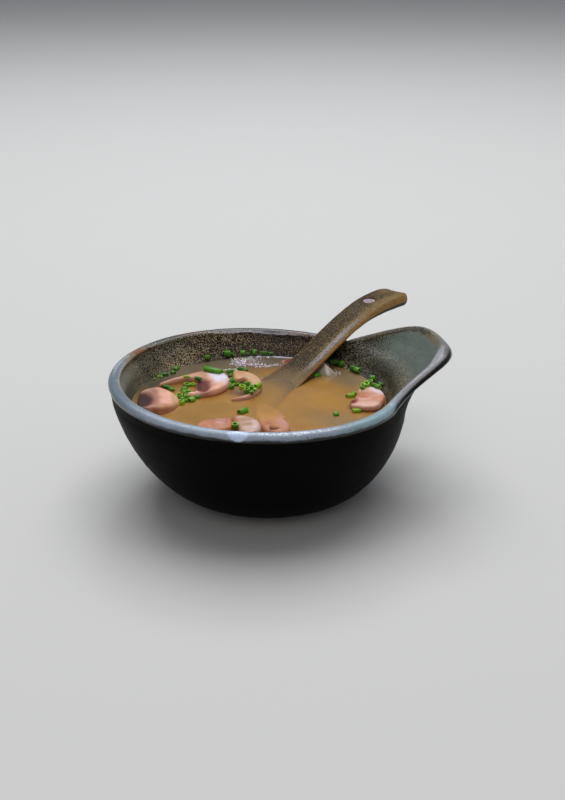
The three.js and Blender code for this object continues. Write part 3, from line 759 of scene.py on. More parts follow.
        # flare from the shoulder to the rim's inner edge, which becomes the lip's floor
        plan = self.shoulder_radius * circle
        low = np.column_stack([plan, shoulder + dip * plan[:, 0]])
        inner = rim + inward * self.rim_thickness * self.flare_inset
        high = np.column_stack([inner, crest_height - self.flare_drop])
        for t in self.flare_rings:
            flare = low + (high - low) * t
            ring(flare[:, :2], flare[:, 2] - self.lip_sag * ramp(0, self.lip_rise, rise) * 4 * t * (1 - t))

        crest = len(made) + 1
        for across, drop in self.crest_profile:
            ring(rim + inward * self.rim_thickness * across, crest_height - drop)

        # underside of the lip, back to the wall's top
        z = self.rim_height - self.underside_drop
        wall = (self.outer_radius(z) - rim_flat - wall_flat)[:, None] * circle + self.skew(z)
        edge = crest_height - self.edge_depth
        for t in self.underside_rings:
            plan = rim + (wall - rim) * t**self.underside_tuck
            ring(plan, edge + (z + dip * wall[:, 0] - edge) * t ** (1 / self.underside_tuck))

        tall = z - self.foot_height
        for k in range(1, self.outside_rings + 1):
            share = 1 - k / self.outside_rings
            z = self.foot_height + tall * share**self.outside_crowding
            radius = self.outer_radius(z) - rim_flat * share - wall_flat * math.sin(math.pi / 2 * share)
            plan = radius[:, None] * circle + self.skew(z)
            ring(plan, z + dip * plan[:, 0] * share**2, corner=k == self.outside_rings)
        foot, recess = self.foot_radius, self.foot_radius - self.foot_ring_width
        out, down = self.foot_bevel
        top = (foot + out, self.foot_height - down)
        profile = (top, (foot, 0), (recess, 0), (recess - self.recess_slope, self.foot_recess))
        for radius, z in profile:
            ring(radius * circle + (self.foot_shift, 0), z, corner=True)
        return np.array(made), np.array(sharp), crest

    def fine_rows(self, rings: Array, sharp: NDArray[np.bool_]) -> tuple[Array, Array]:
        """Hermite rows between the rings, whose slope at a ring weighs the two chords by the other's length.

        Args:
            rings: Points by ring and column.
            sharp: Which rings are sharp corners.

        Returns:
            Points by row and column, and each row's place as a ring number with a fraction.
        """
        chord = np.diff(rings, axis=0)
        length = np.linalg.norm(chord, axis=2, keepdims=True) + 1e-9
        pace = chord / length
        slope = (pace[:-1] * length[1:] + pace[1:] * length[:-1]) / (length[:-1] + length[1:])
        slope = np.concatenate([pace[:1], slope, pace[-1:]])
        rows, at = [], []
        for k in range(len(chord)):
            leave, arrive = (pace[k] if sharp[m] else slope[m] for m in (k, k + 1))
            steps = max(2, math.ceil(float(np.percentile(length[k], 90)) / self.spacing))
            for t in np.arange(steps) / steps:
                rows.append(hermite(t, rings[k], length[k] * leave, rings[k + 1], length[k] * arrive))
                at.append(k + t)
        return np.array([*rows, rings[-1]]), np.array([*at, len(rings) - 1.0])

    def skin(self, glaze: BowlGlaze) -> Skin:
        """The whole surface, with the marks of the wheel and a drop of glaze, and what the glaze reads."""
        rings, sharp, crest = self.rings()
        rows, at = self.fine_rows(rings, sharp)
        count, columns = rows.shape[:2]
        normal = np.cross(np.gradient(rows, axis=0), np.roll(rows, -1, axis=1) - np.roll(rows, 1, axis=1))
        normal /= np.linalg.norm(normal, axis=2, keepdims=True) + 1e-12
        belly = int(np.searchsorted(at, crest + self.outside_rings))
        if float((normal[belly] * rows[belly] * [1, 1, 0]).sum()) < 0:
            normal = -normal
        azimuth, z = np.arctan2(rows[..., 1], rows[..., 0]), rows[..., 2]
        marks = self.inside_marks.rise(azimuth, z) * (at[:, None] < crest - 3)
        marks = marks + self.outside_marks.rise(azimuth, z) * (at[:, None] > crest + 4)
        marks = marks + self.wobble * waves(rows.reshape(-1, 3), 46, 5, 2).reshape(z.shape) * ramp(2, 8, z)
        rows = rows + normal * marks[..., None]

        walk = np.cumsum(np.linalg.norm(np.diff(rows, axis=0), axis=2), axis=0)
        walk = np.concatenate([np.zeros((1, columns)), walk])
        from_crest = walk - walk[int(np.searchsorted(at, crest))]
        drop = self.drop_height * ramp(1.1, 0.2, glaze.drop(azimuth, from_crest))
        rows = rows + normal * drop[..., None]
        values = glaze.paint(rows, azimuth, from_crest)
        for key, v in values.items():
            values[key] = np.concatenate([v.reshape(-1, *v.shape[2:]), v[:1].mean(1), v[-1:].mean(1)])
        poles = np.array([[0, 0, self.floor_height], [self.foot_shift, 0, self.foot_recess]])
        faces = capped_faces(count, columns)
        dark = (from_crest.ravel()[faces[0][:, 0]] > glaze.DARK_FROM).astype(np.int64)
        slots = [dark, np.zeros(columns, np.int64), np.ones(columns, np.int64)]
        return Skin(np.vstack([rows.reshape(-1, 3), poles]), faces, values, slots)


@dataclass(frozen=True)
class RimMark:
    """A streak along the rim: strength, middle and spread in degrees, and distances past the crest."""

    amount: float
    at: float
    spread: float
    band: Pair
    power: int = 2
    soft: float = 0.5

    def share(self, azimuth: Array, past: Array) -> Array:
        """How much of the streak lies at each point."""
        low, high = self.band
        across = ramp(low - self.soft, low + self.soft, past) * ramp(high + self.soft, high - self.soft, past)
        return self.amount * bell(angle_from(azimuth, self.at * DEG), self.spread * DEG, self.power) * across


class BowlGlaze(Look):
    """The bowl's glaze: specks inside, celadon at the lip, a pale rim with rust, and a dark outside."""

    CREAM = srgb(212, 189, 146)
    OLIVE_GREY = srgb(154, 154, 136)
    # grey-green glaze of the left wall, made lighter up high as painted light where that wall is lit
    LEFT_HIGH = srgb(160, 162, 150)
    LEFT_LOW = srgb(64, 66, 50)
    WARM_BACK = srgb(116, 86, 58)
    SHADE = srgb(20, 16, 8)
    MAZE = srgb(140, 134, 108)
    CELADON = srgb(96, 107, 98)
    LIP_LOW = srgb(58, 60, 44)
    BROWN = srgb(18, 9, 3)
    MOSS = srgb(26, 20, 8)
    PALE_RIM = srgb(154, 166, 180)
    LEFT_RIM = srgb(108, 122, 131)
    LIP_RIM = srgb(170, 172, 180)
    LIP_EDGE = srgb(96, 90, 84)
    TEAL_RIM = srgb(136, 166, 170)
    BACK_RIM = srgb(92, 88, 84)
    FAR_RIM = srgb(122, 106, 66)
    FAR_LINE = srgb(132, 126, 112)
    BREAK = srgb(26, 15, 4)
    # painted highlight along the rim's crest and edge
    PAINTED_HIGHLIGHT = srgb(206, 206, 226)
    TAN = srgb(124, 102, 76)
    RUST = srgb(128, 74, 34)
    DROP = srgb(212, 226, 255)
    GLINT = srgb(232, 238, 252)
    NEAR_BLACK = srgb(8, 7, 7)
    CLAY = srgb(104, 82, 60)

    DARK_FROM = 5.0  # past the crest
    DROP_AT = -107 * DEG
    DROP_HALF_WIDTH = 4.9
    DROP_TAPER = 0.4
    DROP_MIDDLE = 1.5
    DROP_REACH = 3.1

    # lines along the rim: the first two are painted highlights, on the back rim's inner edge and on the left
    # crest; the rest are glaze lines
    RIM_LINES_AND_HIGHLIGHTS = (
        (PAINTED_HIGHLIGHT, RimMark(1, 80, 21, (-3.7, -2.9), 6, 0.35)),
        (PAINTED_HIGHLIGHT, RimMark(0.5, 161, 12, (-0.4, 0.7), 4)),
        (LIP_EDGE, RimMark(0.9, -21, 18, (-0.7, 2.0), 6, 0.4)),
        (TAN, RimMark(0.6, 161, 7, (-5.2, -3.2))),
        (LIP_EDGE, RimMark(0.6, 0, 6, (-4.6, -0.4))),
    )
    RUSTED = (
        RimMark(0.95, 144, 6, (-3.4, 0.8)),
        RimMark(0.7, 110, 7, (-1.6, 0.6)),
        RimMark(0.5, 152, 7, (-2.9, -1.6), soft=0.3),
        RimMark(0.5, 62, 6, (-3.2, -1.2)),
        RimMark(0.35, -28, 10, (-3.6, -1.8)),
    )
    FAR_BREAK = RimMark(1, 14, 19, (-4.4, -0.9), 6, 0.6)
    # painted glints on the front rim's crest
    PAINTED_GLINTS = RimMark(1, -87, 15, (-0.6, 1.2), 6, 0.4)

    def drop(self, azimuth: Array, from_crest: Array) -> Array:
        """How far each point is from the hanging drop's middle, 1 being its edge, which tapers downward."""
        arc = Bowl.rim_radius * angle_from(azimuth, self.DROP_AT)
        half = self.DROP_HALF_WIDTH - self.DROP_TAPER * np.clip(from_crest, 0, 4)
        return np.hypot(arc / half, (from_crest - self.DROP_MIDDLE) / self.DROP_REACH)

    def paint(self, rows: Array, azimuth: Array, from_crest: Array) -> dict[str, Array]:
        """Colours of the glaze and of its specks, as smooth steps and bells over the azimuth and the height.

        Args:
            rows: The surface's points.
            azimuth: Their azimuths.
            from_crest: How far past the crest each lies along its profile, negative on the inside.

        Returns:
            How far each is from the crest, both colours, and the shares of specks, rust and painted glints.
        """
        x, z, flat = rows[..., 0], rows[..., 2], rows.reshape(-1, 3)
        past = from_crest + 0.6 * waves(flat, 9, 61, 3).reshape(z.shape)
        patch = waves(flat, 16, 62, 3).reshape(z.shape)
        out = x + 3 * patch

        def side(middle: float, spread: float, power: int = 2) -> Array:
            """Bell over the azimuths, in degrees."""
            return bell(angle_from(azimuth, middle * DEG), spread * DEG, power)

        left, back_left, back = side(-172, 36, 6), side(135, 24, 4), side(86, 46, 6)
        far_lip, near_lip, corner = side(14, 23, 6), side(-26, 16, 6), side(-14, 8)

        # the inside: cream with brown specks, olive and dark at the left, celadon toward the lip's end, and
        # painted shade under the spoon and along the back wall
        lip = ramp(55, 70, out) * side(0, 46, 6)
        # the left wall: grey-green glaze, lighter up high as painted light, darker toward the bottom
        left_wall = layered(coat(self.LEFT_HIGH, rows), (self.LEFT_LOW, ramp(50, 44, z)))
        lip_low = np.maximum(lip, side(-4, 22, 4) * ramp(48, 54, x)) * ramp(59, 46, z)
        # painted shade: dark under the spoon's handle beside the lip, on the back wall's right and low on the
        # back wall
        shade = 0.95 * side(47, 10, 4) * ramp(57, 44, z) + 0.12 * side(66, 17, 4)
        shade = shade + 0.25 * side(100, 16) * ramp(50, 43, z)
        ground = layered(
            coat(self.CREAM, rows),
            (self.OLIVE_GREY, 0.8 * back_left * ramp(43, 51, z)),
            (left_wall, left),
            (self.MAZE, side(24, 27, 4) * ramp(44, 52, x)),
            (self.CELADON, lip),
            (self.LIP_LOW, 0.62 * lip_low),
            (self.WARM_BACK, 0.7 * side(68, 22, 4)),
            (self.LEFT_LOW, 0.65 * side(150, 24, 4) * ramp(53, 45, z)),
            (self.SHADE, np.clip(shade, 0, 1)),
        )
        speck = layered(coat(self.BROWN, rows), (self.MOSS, np.clip(lip + 0.5 * back_left + left, 0, 1)))
        cover = 0.7 * (1 - left) - 0.12 * back_left + 0.08 * patch
        cover = cover * (1 - lip) + lip * (0.5 - 0.36 * ramp(60, 72, out))

        # the rim: pale, browner at the back, with thin breaks and streaks, and painted highlights along the
        # back rim's inner edge and the left crest
        inner = past + 2.5 + 2.2 * near_lip + 4.0 * corner - 1.8 * far_lip - 0.5 * side(-178, 30)
        pale = ramp(-0.5, 0.5, inner)
        rim = layered(
            coat(self.PALE_RIM, rows),
            (self.LEFT_RIM, side(178, 34, 4)),
            (self.TEAL_RIM, 0.8 * side(-54, 16, 4)),
            (self.LIP_RIM, side(-18, 16, 6)),
            (self.OLIVE_GREY, back_left),
            (self.BACK_RIM, back),
            (self.FAR_LINE, side(20, 27, 8)),
        )
        far = self.FAR_BREAK.share(azimuth, past)
        cover = cover * (1 - pale) + pale * (0.45 * back + 0.34 * back_left + 0.2 * side(30, 12))
        cover = np.maximum(cover, 0.8 * far * side(17, 15, 4))
        speck = layered(speck, (self.BREAK, np.maximum(pale, far)))
        streaks = [(self.TAN, 0.7 * ramp(-1.4, -0.4, inner) * ramp(0.8, 0.1, inner) * near_lip)]
        # the rim's glaze lines, with its painted highlights
        streaks += [(colour, mark.share(azimuth, past)) for colour, mark in self.RIM_LINES_AND_HIGHLIGHTS]

        # the outside, and the drop that hangs over the rim
        outside = ramp(2.9, 4.3, past + 2.4 * side(-22, 19, 6) + 1.0 * back)
        drop = ramp(1.15, 0.75, self.drop(azimuth, from_crest))
        over = [*streaks, (self.NEAR_BLACK, outside), (self.DROP, drop)]
        ground = layered(ground, (rim, pale), (self.FAR_RIM, far), *over)
        for _, share in over:
            cover = cover * (1 - share)
        return {
            "from_crest": from_crest,
            "ground": with_alpha(ground),
            "speck": with_alpha(speck),
            "cover": np.clip(cover, 0, 1),
            "rust": np.clip(sum(mark.share(azimuth, past) for mark in self.RUSTED), 0, 1),
            "sparkle": self.PAINTED_GLINTS.share(azimuth, past),
        }

    def _colour(self, finish: Finish, specks: object) -> Socket:
        """The painted colours with their specks, rust where the rim broke, and painted glints on the front
        rim.
        """
        nodes = finish.nodes
        colour = nodes.mix(specks, nodes.colour("ground"), nodes.colour("speck"))
        colour = finish.grain(5.0, colour, 0.35).outputs["Colour"]
        rust = finish.use(self.effects.rust, Edge=nodes.value("rust"), Amount=0.9).outputs["Rust"]
        colour = nodes.mix(nodes.times(rust, 0.9), colour, self.RUST)
        # painted glints: pale specks on the front rim's crest
        glint = finish.specks(1.2, 0.5, 0.1).outputs["Specks"]
        return nodes.mix(nodes.times(glint, nodes.value("sparkle"), 0.75), colour, self.GLINT)

    def materials(self) -> list[Material]:
        """The glossy glaze of the inside and rim, and the satin one of the outside."""
        inside = Finish("speckled celadon glaze", self.effects)
        nodes = inside.nodes
        specks = inside.specks(0.45, nodes.value("cover"))
        bright = inside.surface(
            Base_Color=self._colour(inside, specks.outputs["Specks"]),
            Roughness=nodes.steps(nodes.value("from_crest"), -6.0, -2.5, (0.5, 0.26)),
            IOR=1.5,
            Specular_IOR_Level=0.35,
            Coat_Weight=0.05,
            Coat_Roughness=0.2,
            height=specks.outputs["Relief"],
            depth=0.04,
        )
        outside = Finish("dark satin glaze", self.effects)
        nodes = outside.nodes
        clay = nodes.steps(nodes.height(), 2.2 * MM, 1.4 * MM)
        dark = outside.surface(
            Base_Color=nodes.mix(clay, self._colour(outside, 0.0), self.CLAY),
            Roughness=nodes.steps(clay, 0, 1, (0.5, 0.8)),
            IOR=1.5,
            Specular_IOR_Level=0.03,
            height=nodes.noise(1 / (1.4 * MM), nodes.place(), 3.0),
            depth=0.05,
        )
        return [bright, dark]


# --- spoon


@dataclass
class Spoon:
    """The ceramic spoon: a flat handle with a hanging hole, and a scoop under the soup."""

    axis: float = 38.2 * DEG
    rest: Pair = (47.3, 46.1)
    tip: float = 48.5
    toe: float = -103.0
    thickness: float = 3.2
    swell: float = 3.1
    swing: float = 1.0
    hole_radius: float = 2.75
    hole_at: float = 27.0
    hole_off: float = 1.7
    hole_flare: float = 0.55
    hole_waist: float = 1.25
    hole_depth: float = 2.3  # of its waist's middle, under the handle's edge
    widest_flare: float = 4.0
    toe_round: float = 17.0
    tip_round: float = 8.5
    tip_power: float = 2.8
    rim_height: float = 53.8
    hollow_power: float = 2.6
    edge: Knots = (
        (-103, -26), (-90, -22.7), (-76, -19.3), (-60, -15), (-45, -11), (-38, -9.5), (-30, -7.4),
        (-22, -4.6), (-14, -1.4), (-6, 2), (2, 5.1), (10, 7.5), (18, 9.3), (26, 10.6), (34, 11.3),
        (42, 11.5), (51, 10.9),
    )  # fmt: skip
    half_width: Knots = (
        (-103, 18), (-90, 21), (-79, 21.5), (-68, 20), (-58, 16), (-48, 11.8), (-38, 9.4), (-26, 8.2),
        (0, 8.2), (18, 8.4), (34, 8.9), (51, 9.4),
    )  # fmt: skip
    channel: Knots = (
        (-103, 2.5), (-99, 6.5), (-92, 12.5), (-83, 17), (-72, 17.5), (-60, 12), (-48, 5.5), (-36, 2.2),
        (-20, 1.3), (5, 1.2), (25, 0.4), (51, 0.3),
    )  # fmt: skip
    edge_round: Pair = (1.15, 1.8)
    end_round: float = 2.6
    across: int = 30
    round_steps: int = 9
    end_pinch: Pair = (0.42, 0.54)  # shares of the thickness lost above and below
    uneven: float = 0.12
    narrowest: float = 0.05  # half width that is divided by at the ends
    plug_sides: int = 48
    plug_rows: int = 61
    plug_reach: float = 9.0

    def shape(self, e: Array) -> dict[str, Array]:
        """Half width, channel depth, edge height, wall thickness, side share and swing at stations e.

        The width and depth are curves through knots, rounded off over both ends.
        """
        toe = rounded(e - self.toe, self.toe_round)
        tip = rounded(self.tip - e, self.tip_round, self.tip_power)
        return {
            "half": through_knots(self.half_width, e) * toe * tip,
            "depth": through_knots(self.channel, e) * toe**2 * tip,
            "edge": self.rim_height + through_knots(self.edge, e),
            "body": (self.thickness + self.swell * ramp(-5, self.tip, e)) * (0.6 + 0.4 * toe * tip),
            "pinch": 1 - rounded(self.tip - e, self.end_round),
            "share": 0.45 + 0.4 * ramp(0, 25, e),
            "swing": self.swing * ramp(0, 30, e),
        }

    def hollow(self, v: Array) -> Array:
        """Share of the channel's depth at places v across the spoon, from -1 to 1: 1 - |v|^2.6."""
        return 1 - np.clip(np.abs(v), 0, 1) ** self.hollow_power

    def stations(self) -> Array:
        """Stations along the spoon, closer together over its rounded ends."""
        ease = np.linspace(0.0, 1.0, 26)[1:] ** 2
        toe = self.toe + self.toe_round * np.concatenate([[0.004], ease])
        tip = self.tip - self.tip_round * np.concatenate([[0.002], ease])
        middle = np.linspace(toe[-1], tip[-1], 190)
        return np.concatenate([toe, middle[1:-1], tip[::-1]])

    def to_dish(self, e: Array | float, side: Array | float, z: Array | float) -> Array:
        """Points given along the spoon, across it toward its left, and up."""
        cos, sin = math.cos(self.axis), math.sin(self.axis)
        x, y = self.rest[0] + e * cos - side * sin, self.rest[1] + e * sin + side * cos
        return np.stack(np.broadcast_arrays(x, y, z), -1)

    def along(self, points: Array) -> tuple[Array, Array]:
        """Where points in plan lie along the spoon and across it."""
        cos, sin = math.cos(self.axis), math.sin(self.axis)
        x, y = points[:, 0] - self.rest[0], points[:, 1] - self.rest[1]
        return x * cos + y * sin, -x * sin + y * cos

    def hole(self, z: float) -> Array:
        """Middle of the hanging hole at a height."""
        return self.to_dish(self.hole_at, self.swing + self.hole_off, z)

    def top(self, points: Array) -> tuple[Array, Array]:
        """Height of the spoon's upper face at points in plan, and how far outside its edge each lies.

        Args:
            points: Places in plan, one a row.

        Returns:
            Heights, and distances beyond the edge, negative within it.
        """
        e, side = self.along(points)
        form = self.shape(e)
        half = np.maximum(form["half"], self.narrowest)
        v = (side - form["swing"]) / half
        outside = np.maximum((np.abs(v) - 1) * half, np.maximum(self.toe - e, e - self.tip))
        return form["edge"] - form["depth"] * self.hollow(v), outside

    def skin(self) -> Skin:
        """Loops round the spoon: a hollow upper face, elliptical edges, and an under face."""
        e = self.stations()
        form = {key: value[:, None] for key, value in self.shape(e).items()}
        half, depth, share, pinch = (form[key] for key in ("half", "depth", "share", "pinch"))
        slim, stout = self.edge_round
        corner = slim + (stout - slim) * ramp(15, 45, e)[:, None]
        tuck = np.minimum(corner / np.maximum(half, self.narrowest), 0.5)
        v = np.linspace(-1, 1, self.across)[None, :] * (1 - tuck)
        hollow = self.hollow(v)
        wall = form["body"] * (share + (1 - share) * hollow)
        face = half * v
        above, below = self.end_pinch
        upper = depth * hollow + wall * pinch * above
        under = depth * hollow + wall * (1 - pinch * below)
        turn = (np.arange(1, self.round_steps) / self.round_steps * math.pi)[None, :]
        bulge = half * tuck * np.sin(turn)
        round_share = np.broadcast_to(turn / math.pi, bulge.shape)

        def between(start: Array, end: Array) -> Array:
            """Drops along a half turn from one face to the other."""
            return (start + end) / 2 - (end - start) / 2 * np.cos(turn)

        # four stretches of each loop: places across, drops from the edge, and shares turned underneath
        loops = (
            (face, upper, np.zeros_like(v)),
            (face[:, -1:] + bulge, between(upper[:, -1:], under[:, -1:]), round_share),
            (face[:, ::-1], under[:, ::-1], np.ones_like(v)),
            (face[:, :1] - bulge, between(under[:, :1], upper[:, :1]), 1 - round_share),
        )
        side, drop, turned = (np.concatenate(stretches, axis=1) for stretches in zip(*loops))
        stations = np.broadcast_to(e[:, None], side.shape)
        points = self.to_dish(stations, side + form["swing"], form["edge"] - drop)
        ends = np.stack([points[0].mean(0), points[-1].mean(0)])
        flat = points.reshape(-1, 3)
        flat[:, 2] += self.uneven * waves(flat, 17, 8, 2)
        flat = np.vstack([flat, ends])
        values = {
            "along": np.concatenate([stations.ravel(), [e[0], e[-1]]]),
            "across": np.concatenate([(side / np.maximum(half, self.narrowest)).ravel(), [0.0, 0.0]]),
            "turned": np.concatenate([turned.ravel(), [0.5, 0.5]]),
            "hole": np.hypot(*(flat - self.hole(0.0)).T[:2]),
        }
        return Skin(flat, capped_faces(*side.shape), values)

    def mark_hole(self, mesh: bpy.types.Mesh, dish: Dish) -> None:
        """Gives the points that the cut made what their neighbours carry, from where each of them lies."""
        flat = np.zeros(len(mesh.vertices) * 3, np.float32)
        mesh.vertices.foreach_get("co", flat)
        points = flat.reshape(-1, 3).astype(float) / MM - dish.origin
        e, side = self.along(points)
        form = self.shape(e)
        v = np.clip((side - form["swing"]) / np.maximum(form["half"], self.narrowest), -1, 1)
        top = form["edge"] - form["depth"] * self.hollow(v)
        hole = np.hypot(e - self.hole_at, side - self.swing - self.hole_off)
        turned = ramp(0.1, 0.9, (top - points[:, 2]) / form["body"])
        marks = {"along": e, "across": v, "turned": turned, "hole": hole}
        near = hole < self.hole_radius + 1.6
        for key, new in marks.items():
            layer = mesh.attributes[key].data
            old = np.zeros(len(points), np.float32)
            layer.foreach_get("value", old)
            layer.foreach_set("value", np.where(near, new, old).astype(np.float32))

    def hole_cutter(self, dish: Dish) -> bpy.types.Object:
        """A turned plug, narrow at the handle's middle and flared at both faces, which cuts the hole."""
        sides = self.plug_sides
        z = np.linspace(-self.plug_reach, self.plug_reach, self.plug_rows)
        flare = self.hole_flare * np.clip(np.abs(z) - self.hole_waist, 0, None) ** 2
        radius = self.hole_radius + np.minimum(flare, self.widest_flare)
        edge = self.rim_height + float(through_knots(self.edge, self.hole_at))
        centre = self.hole(edge - self.hole_depth)
        plan = around(radius[:, None], np.arange(sides) / sides * FULL_TURN)
        rows = np.concatenate([plan, np.broadcast_to(z[:, None, None], (len(z), sides, 1))], -1)
        points = np.vstack([rows.reshape(-1, 3), [[0, 0, z[0]], [0, 0, z[-1]]]]) + centre
        mesh = bpy.data.meshes.new("hole_plug")
        faces = [face for part in capped_faces(len(z), sides) for face in part.tolist()]
        mesh.from_pydata(dish.place(points).tolist(), [], faces)
        mesh.update()
        return put("hole_plug", mesh)

    def pierce(self, piece: bpy.types.Object, dish: Dish) -> None:
        """Cuts the hanging hole through the finished spoon."""
        plug = self.hole_cutter(dish)
        cut = piece.modifiers.new("hanging hole", "BOOLEAN")
        cut.operation, cut.object, cut.solver = "DIFFERENCE", plug, "EXACT"
        bpy.context.view_layer.update()
        done = bpy.data.meshes.new_from_object(piece.evaluated_get(bpy.context.evaluated_depsgraph_get()))
        piece.modifiers.clear()
        piece.data = done
        self.mark_hole(done, dish)
        done.shade_smooth()
        bpy.data.objects.remove(plug)


class SpoonGlaze(Look):
    """Olive glaze with dark specks, tan and rust along the edges, grey underneath."""

    OLIVE = srgb(124, 104, 68)
    DARK = srgb(32, 21, 9)
    TAN = srgb(140, 111, 66)
    GREY = srgb(112, 96, 74)
    SHEEN = srgb(168, 164, 166)
    RUST = srgb(156, 78, 22)
    SIDE = srgb(164, 128, 78)
    UNDER = srgb(58, 57, 59)
    # pale glaze of the hole's lining, made near white as a painted highlight
    HOLE = srgb(236, 228, 234)
    BURNT = srgb(80, 30, 16)
    SOAKED = srgb(140, 116, 84)

    def ground(self, finish: Finish, plain: Socket, streaks: Socket) -> Socket:
        """The upper face's colour: tan streaks at its edge and end, grey near the soup, and a painted sheen
        line along the near crest.
        """
        nodes = finish.nodes
        along, across = nodes.value("along"), nodes.value("across")
        ground = nodes.mix(plain, self.OLIVE, nodes.mix(streaks, self.TAN, self.OLIVE))
        ground = nodes.mix(nodes.times(nodes.steps(along, -12.0, -28.0), 0.7), ground, self.GREY)
        # painted sheen: a pale line along the near crest
        line = nodes.times(nodes.steps(across, -0.2, -0.45), nodes.steps(across, -0.85, -0.6))
        line = nodes.times(line, nodes.steps(along, 16, -6), nodes.steps(along, -34, -20), 0.7)
        return nodes.mix(line, ground, self.SHEEN)

    def material(self) -> Material:
        """The glaze, from where a point lies along, across and round the spoon."""
        finish = Finish("olive speckled glaze", self.effects)
        nodes = finish.nodes
        along, across, turned, hole = (nodes.value(key) for key in ("along", "across", "turned", "hole"))
        lengthwise = {"Vector": nodes.place(), "Rotation": (0.0, 0.0, -Spoon.axis), "Scale": (0.35, 1.0, 1.0)}
        streaks = nodes.noise(1 / (1.6 * MM), nodes.add("Mapping", lengthwise).outputs[0], 3.0)
        edge, tip = nodes.steps(across, 0.1, -0.5), nodes.steps(along, 31.0, 46.0)
        plain = nodes.math("MAXIMUM", nodes.times(edge, 0.9), nodes.times(tip, 0.6))
        specks = finish.specks(0.5, nodes.math("SUBTRACT", 0.7, nodes.times(plain, 0.46)))
        dark = nodes.times(specks.outputs["Specks"], 0.9)
        colour = nodes.mix(dark, self.ground(finish, plain, streaks), self.DARK)
        colour = nodes.mix(nodes.steps(turned, 0.1, 0.35), colour, nodes.mix(streaks, self.TAN, self.SIDE))
        colour = nodes.mix(nodes.steps(turned, 0.5, 0.62), colour, self.UNDER)
        ridge = nodes.steps(nodes.math("ABSOLUTE", across), 0.84, 0.95)
        spots = finish.specks(1.7, nodes.steps(along, -8.0, -26.0, (0.3, 0.55)), 0.12)
        rust = nodes.times(spots.outputs["Specks"], ridge, nodes.steps(turned, 0.55, 0.3), 0.75)
        colour = nodes.mix(rust, colour, self.RUST)
        colour = nodes.mix(nodes.steps(nodes.height(), 46.5 * MM, 41.0 * MM, (0, 0.75)), colour, self.SOAKED)
        ring = nodes.times(nodes.steps(hole, 3.8, 3.5), nodes.steps(hole, 2.8, 2.95), 0.95)
        # the hole's lining: pale glaze, made near white as a painted highlight
        lining = nodes.times(nodes.steps(hole, 3.0, 2.85), nodes.steps(hole, 2.0, 2.5))
        colour = nodes.mix(lining, nodes.mix(ring, colour, self.BURNT), self.HOLE)
        return finish.surface(
            Base_Color=colour,
            Roughness=0.46,
            IOR=1.5,
            Specular_IOR_Level=0.06,
            height=specks.outputs["Relief"],
            depth=0.04,
        )


# --- mushroom slices


def turned(*turns: tuple[float, str]) -> Array:
    """Turns in degrees about axes, of which the last is made first."""
    full = Matrix.Identity(3)
    for angle, axis in reversed(turns):
        full = Matrix.Rotation(angle * DEG, 3, axis) @ full
    return np.array(full)


@dataclass(frozen=True)
class Pose:
    """How a piece's own frame lies in the dish's: a turn, then a shift."""

    turn: Array
    shift: Array

    def carry(self, points: Array) -> Array:
        """Points of the piece's own frame in the dish's."""
        return points @ self.turn.T + self.shift

    def back(self, points: Array) -> Array:
        """Points of the dish's frame in the piece's own."""
        return (points - self.shift) @ self.turn


@dataclass(frozen=True)
class Stain:
    """An oval of another colour: its middle, half sizes, turn in degrees, colour, strength and soft edge."""

    at: Pair
    half: Pair
    turn: float
    colour: Colour
    amount: float
    soft: float = 0.6
    gills: bool = False

    def share(self, flat: Array) -> Array:
        """How much of the stain lies at each point: full in the middle, fading over its soft edge."""
        cos, sin = math.cos(self.turn * DEG), math.sin(self.turn * DEG)
        x, y = flat[:, 0] - self.at[0], flat[:, 1] - self.at[1]
        reach = np.hypot((x * cos + y * sin) / self.half[0], (y * cos - x * sin) / self.half[1])
        return self.amount * ramp(1 + self.soft, 1 - self.soft, reach)


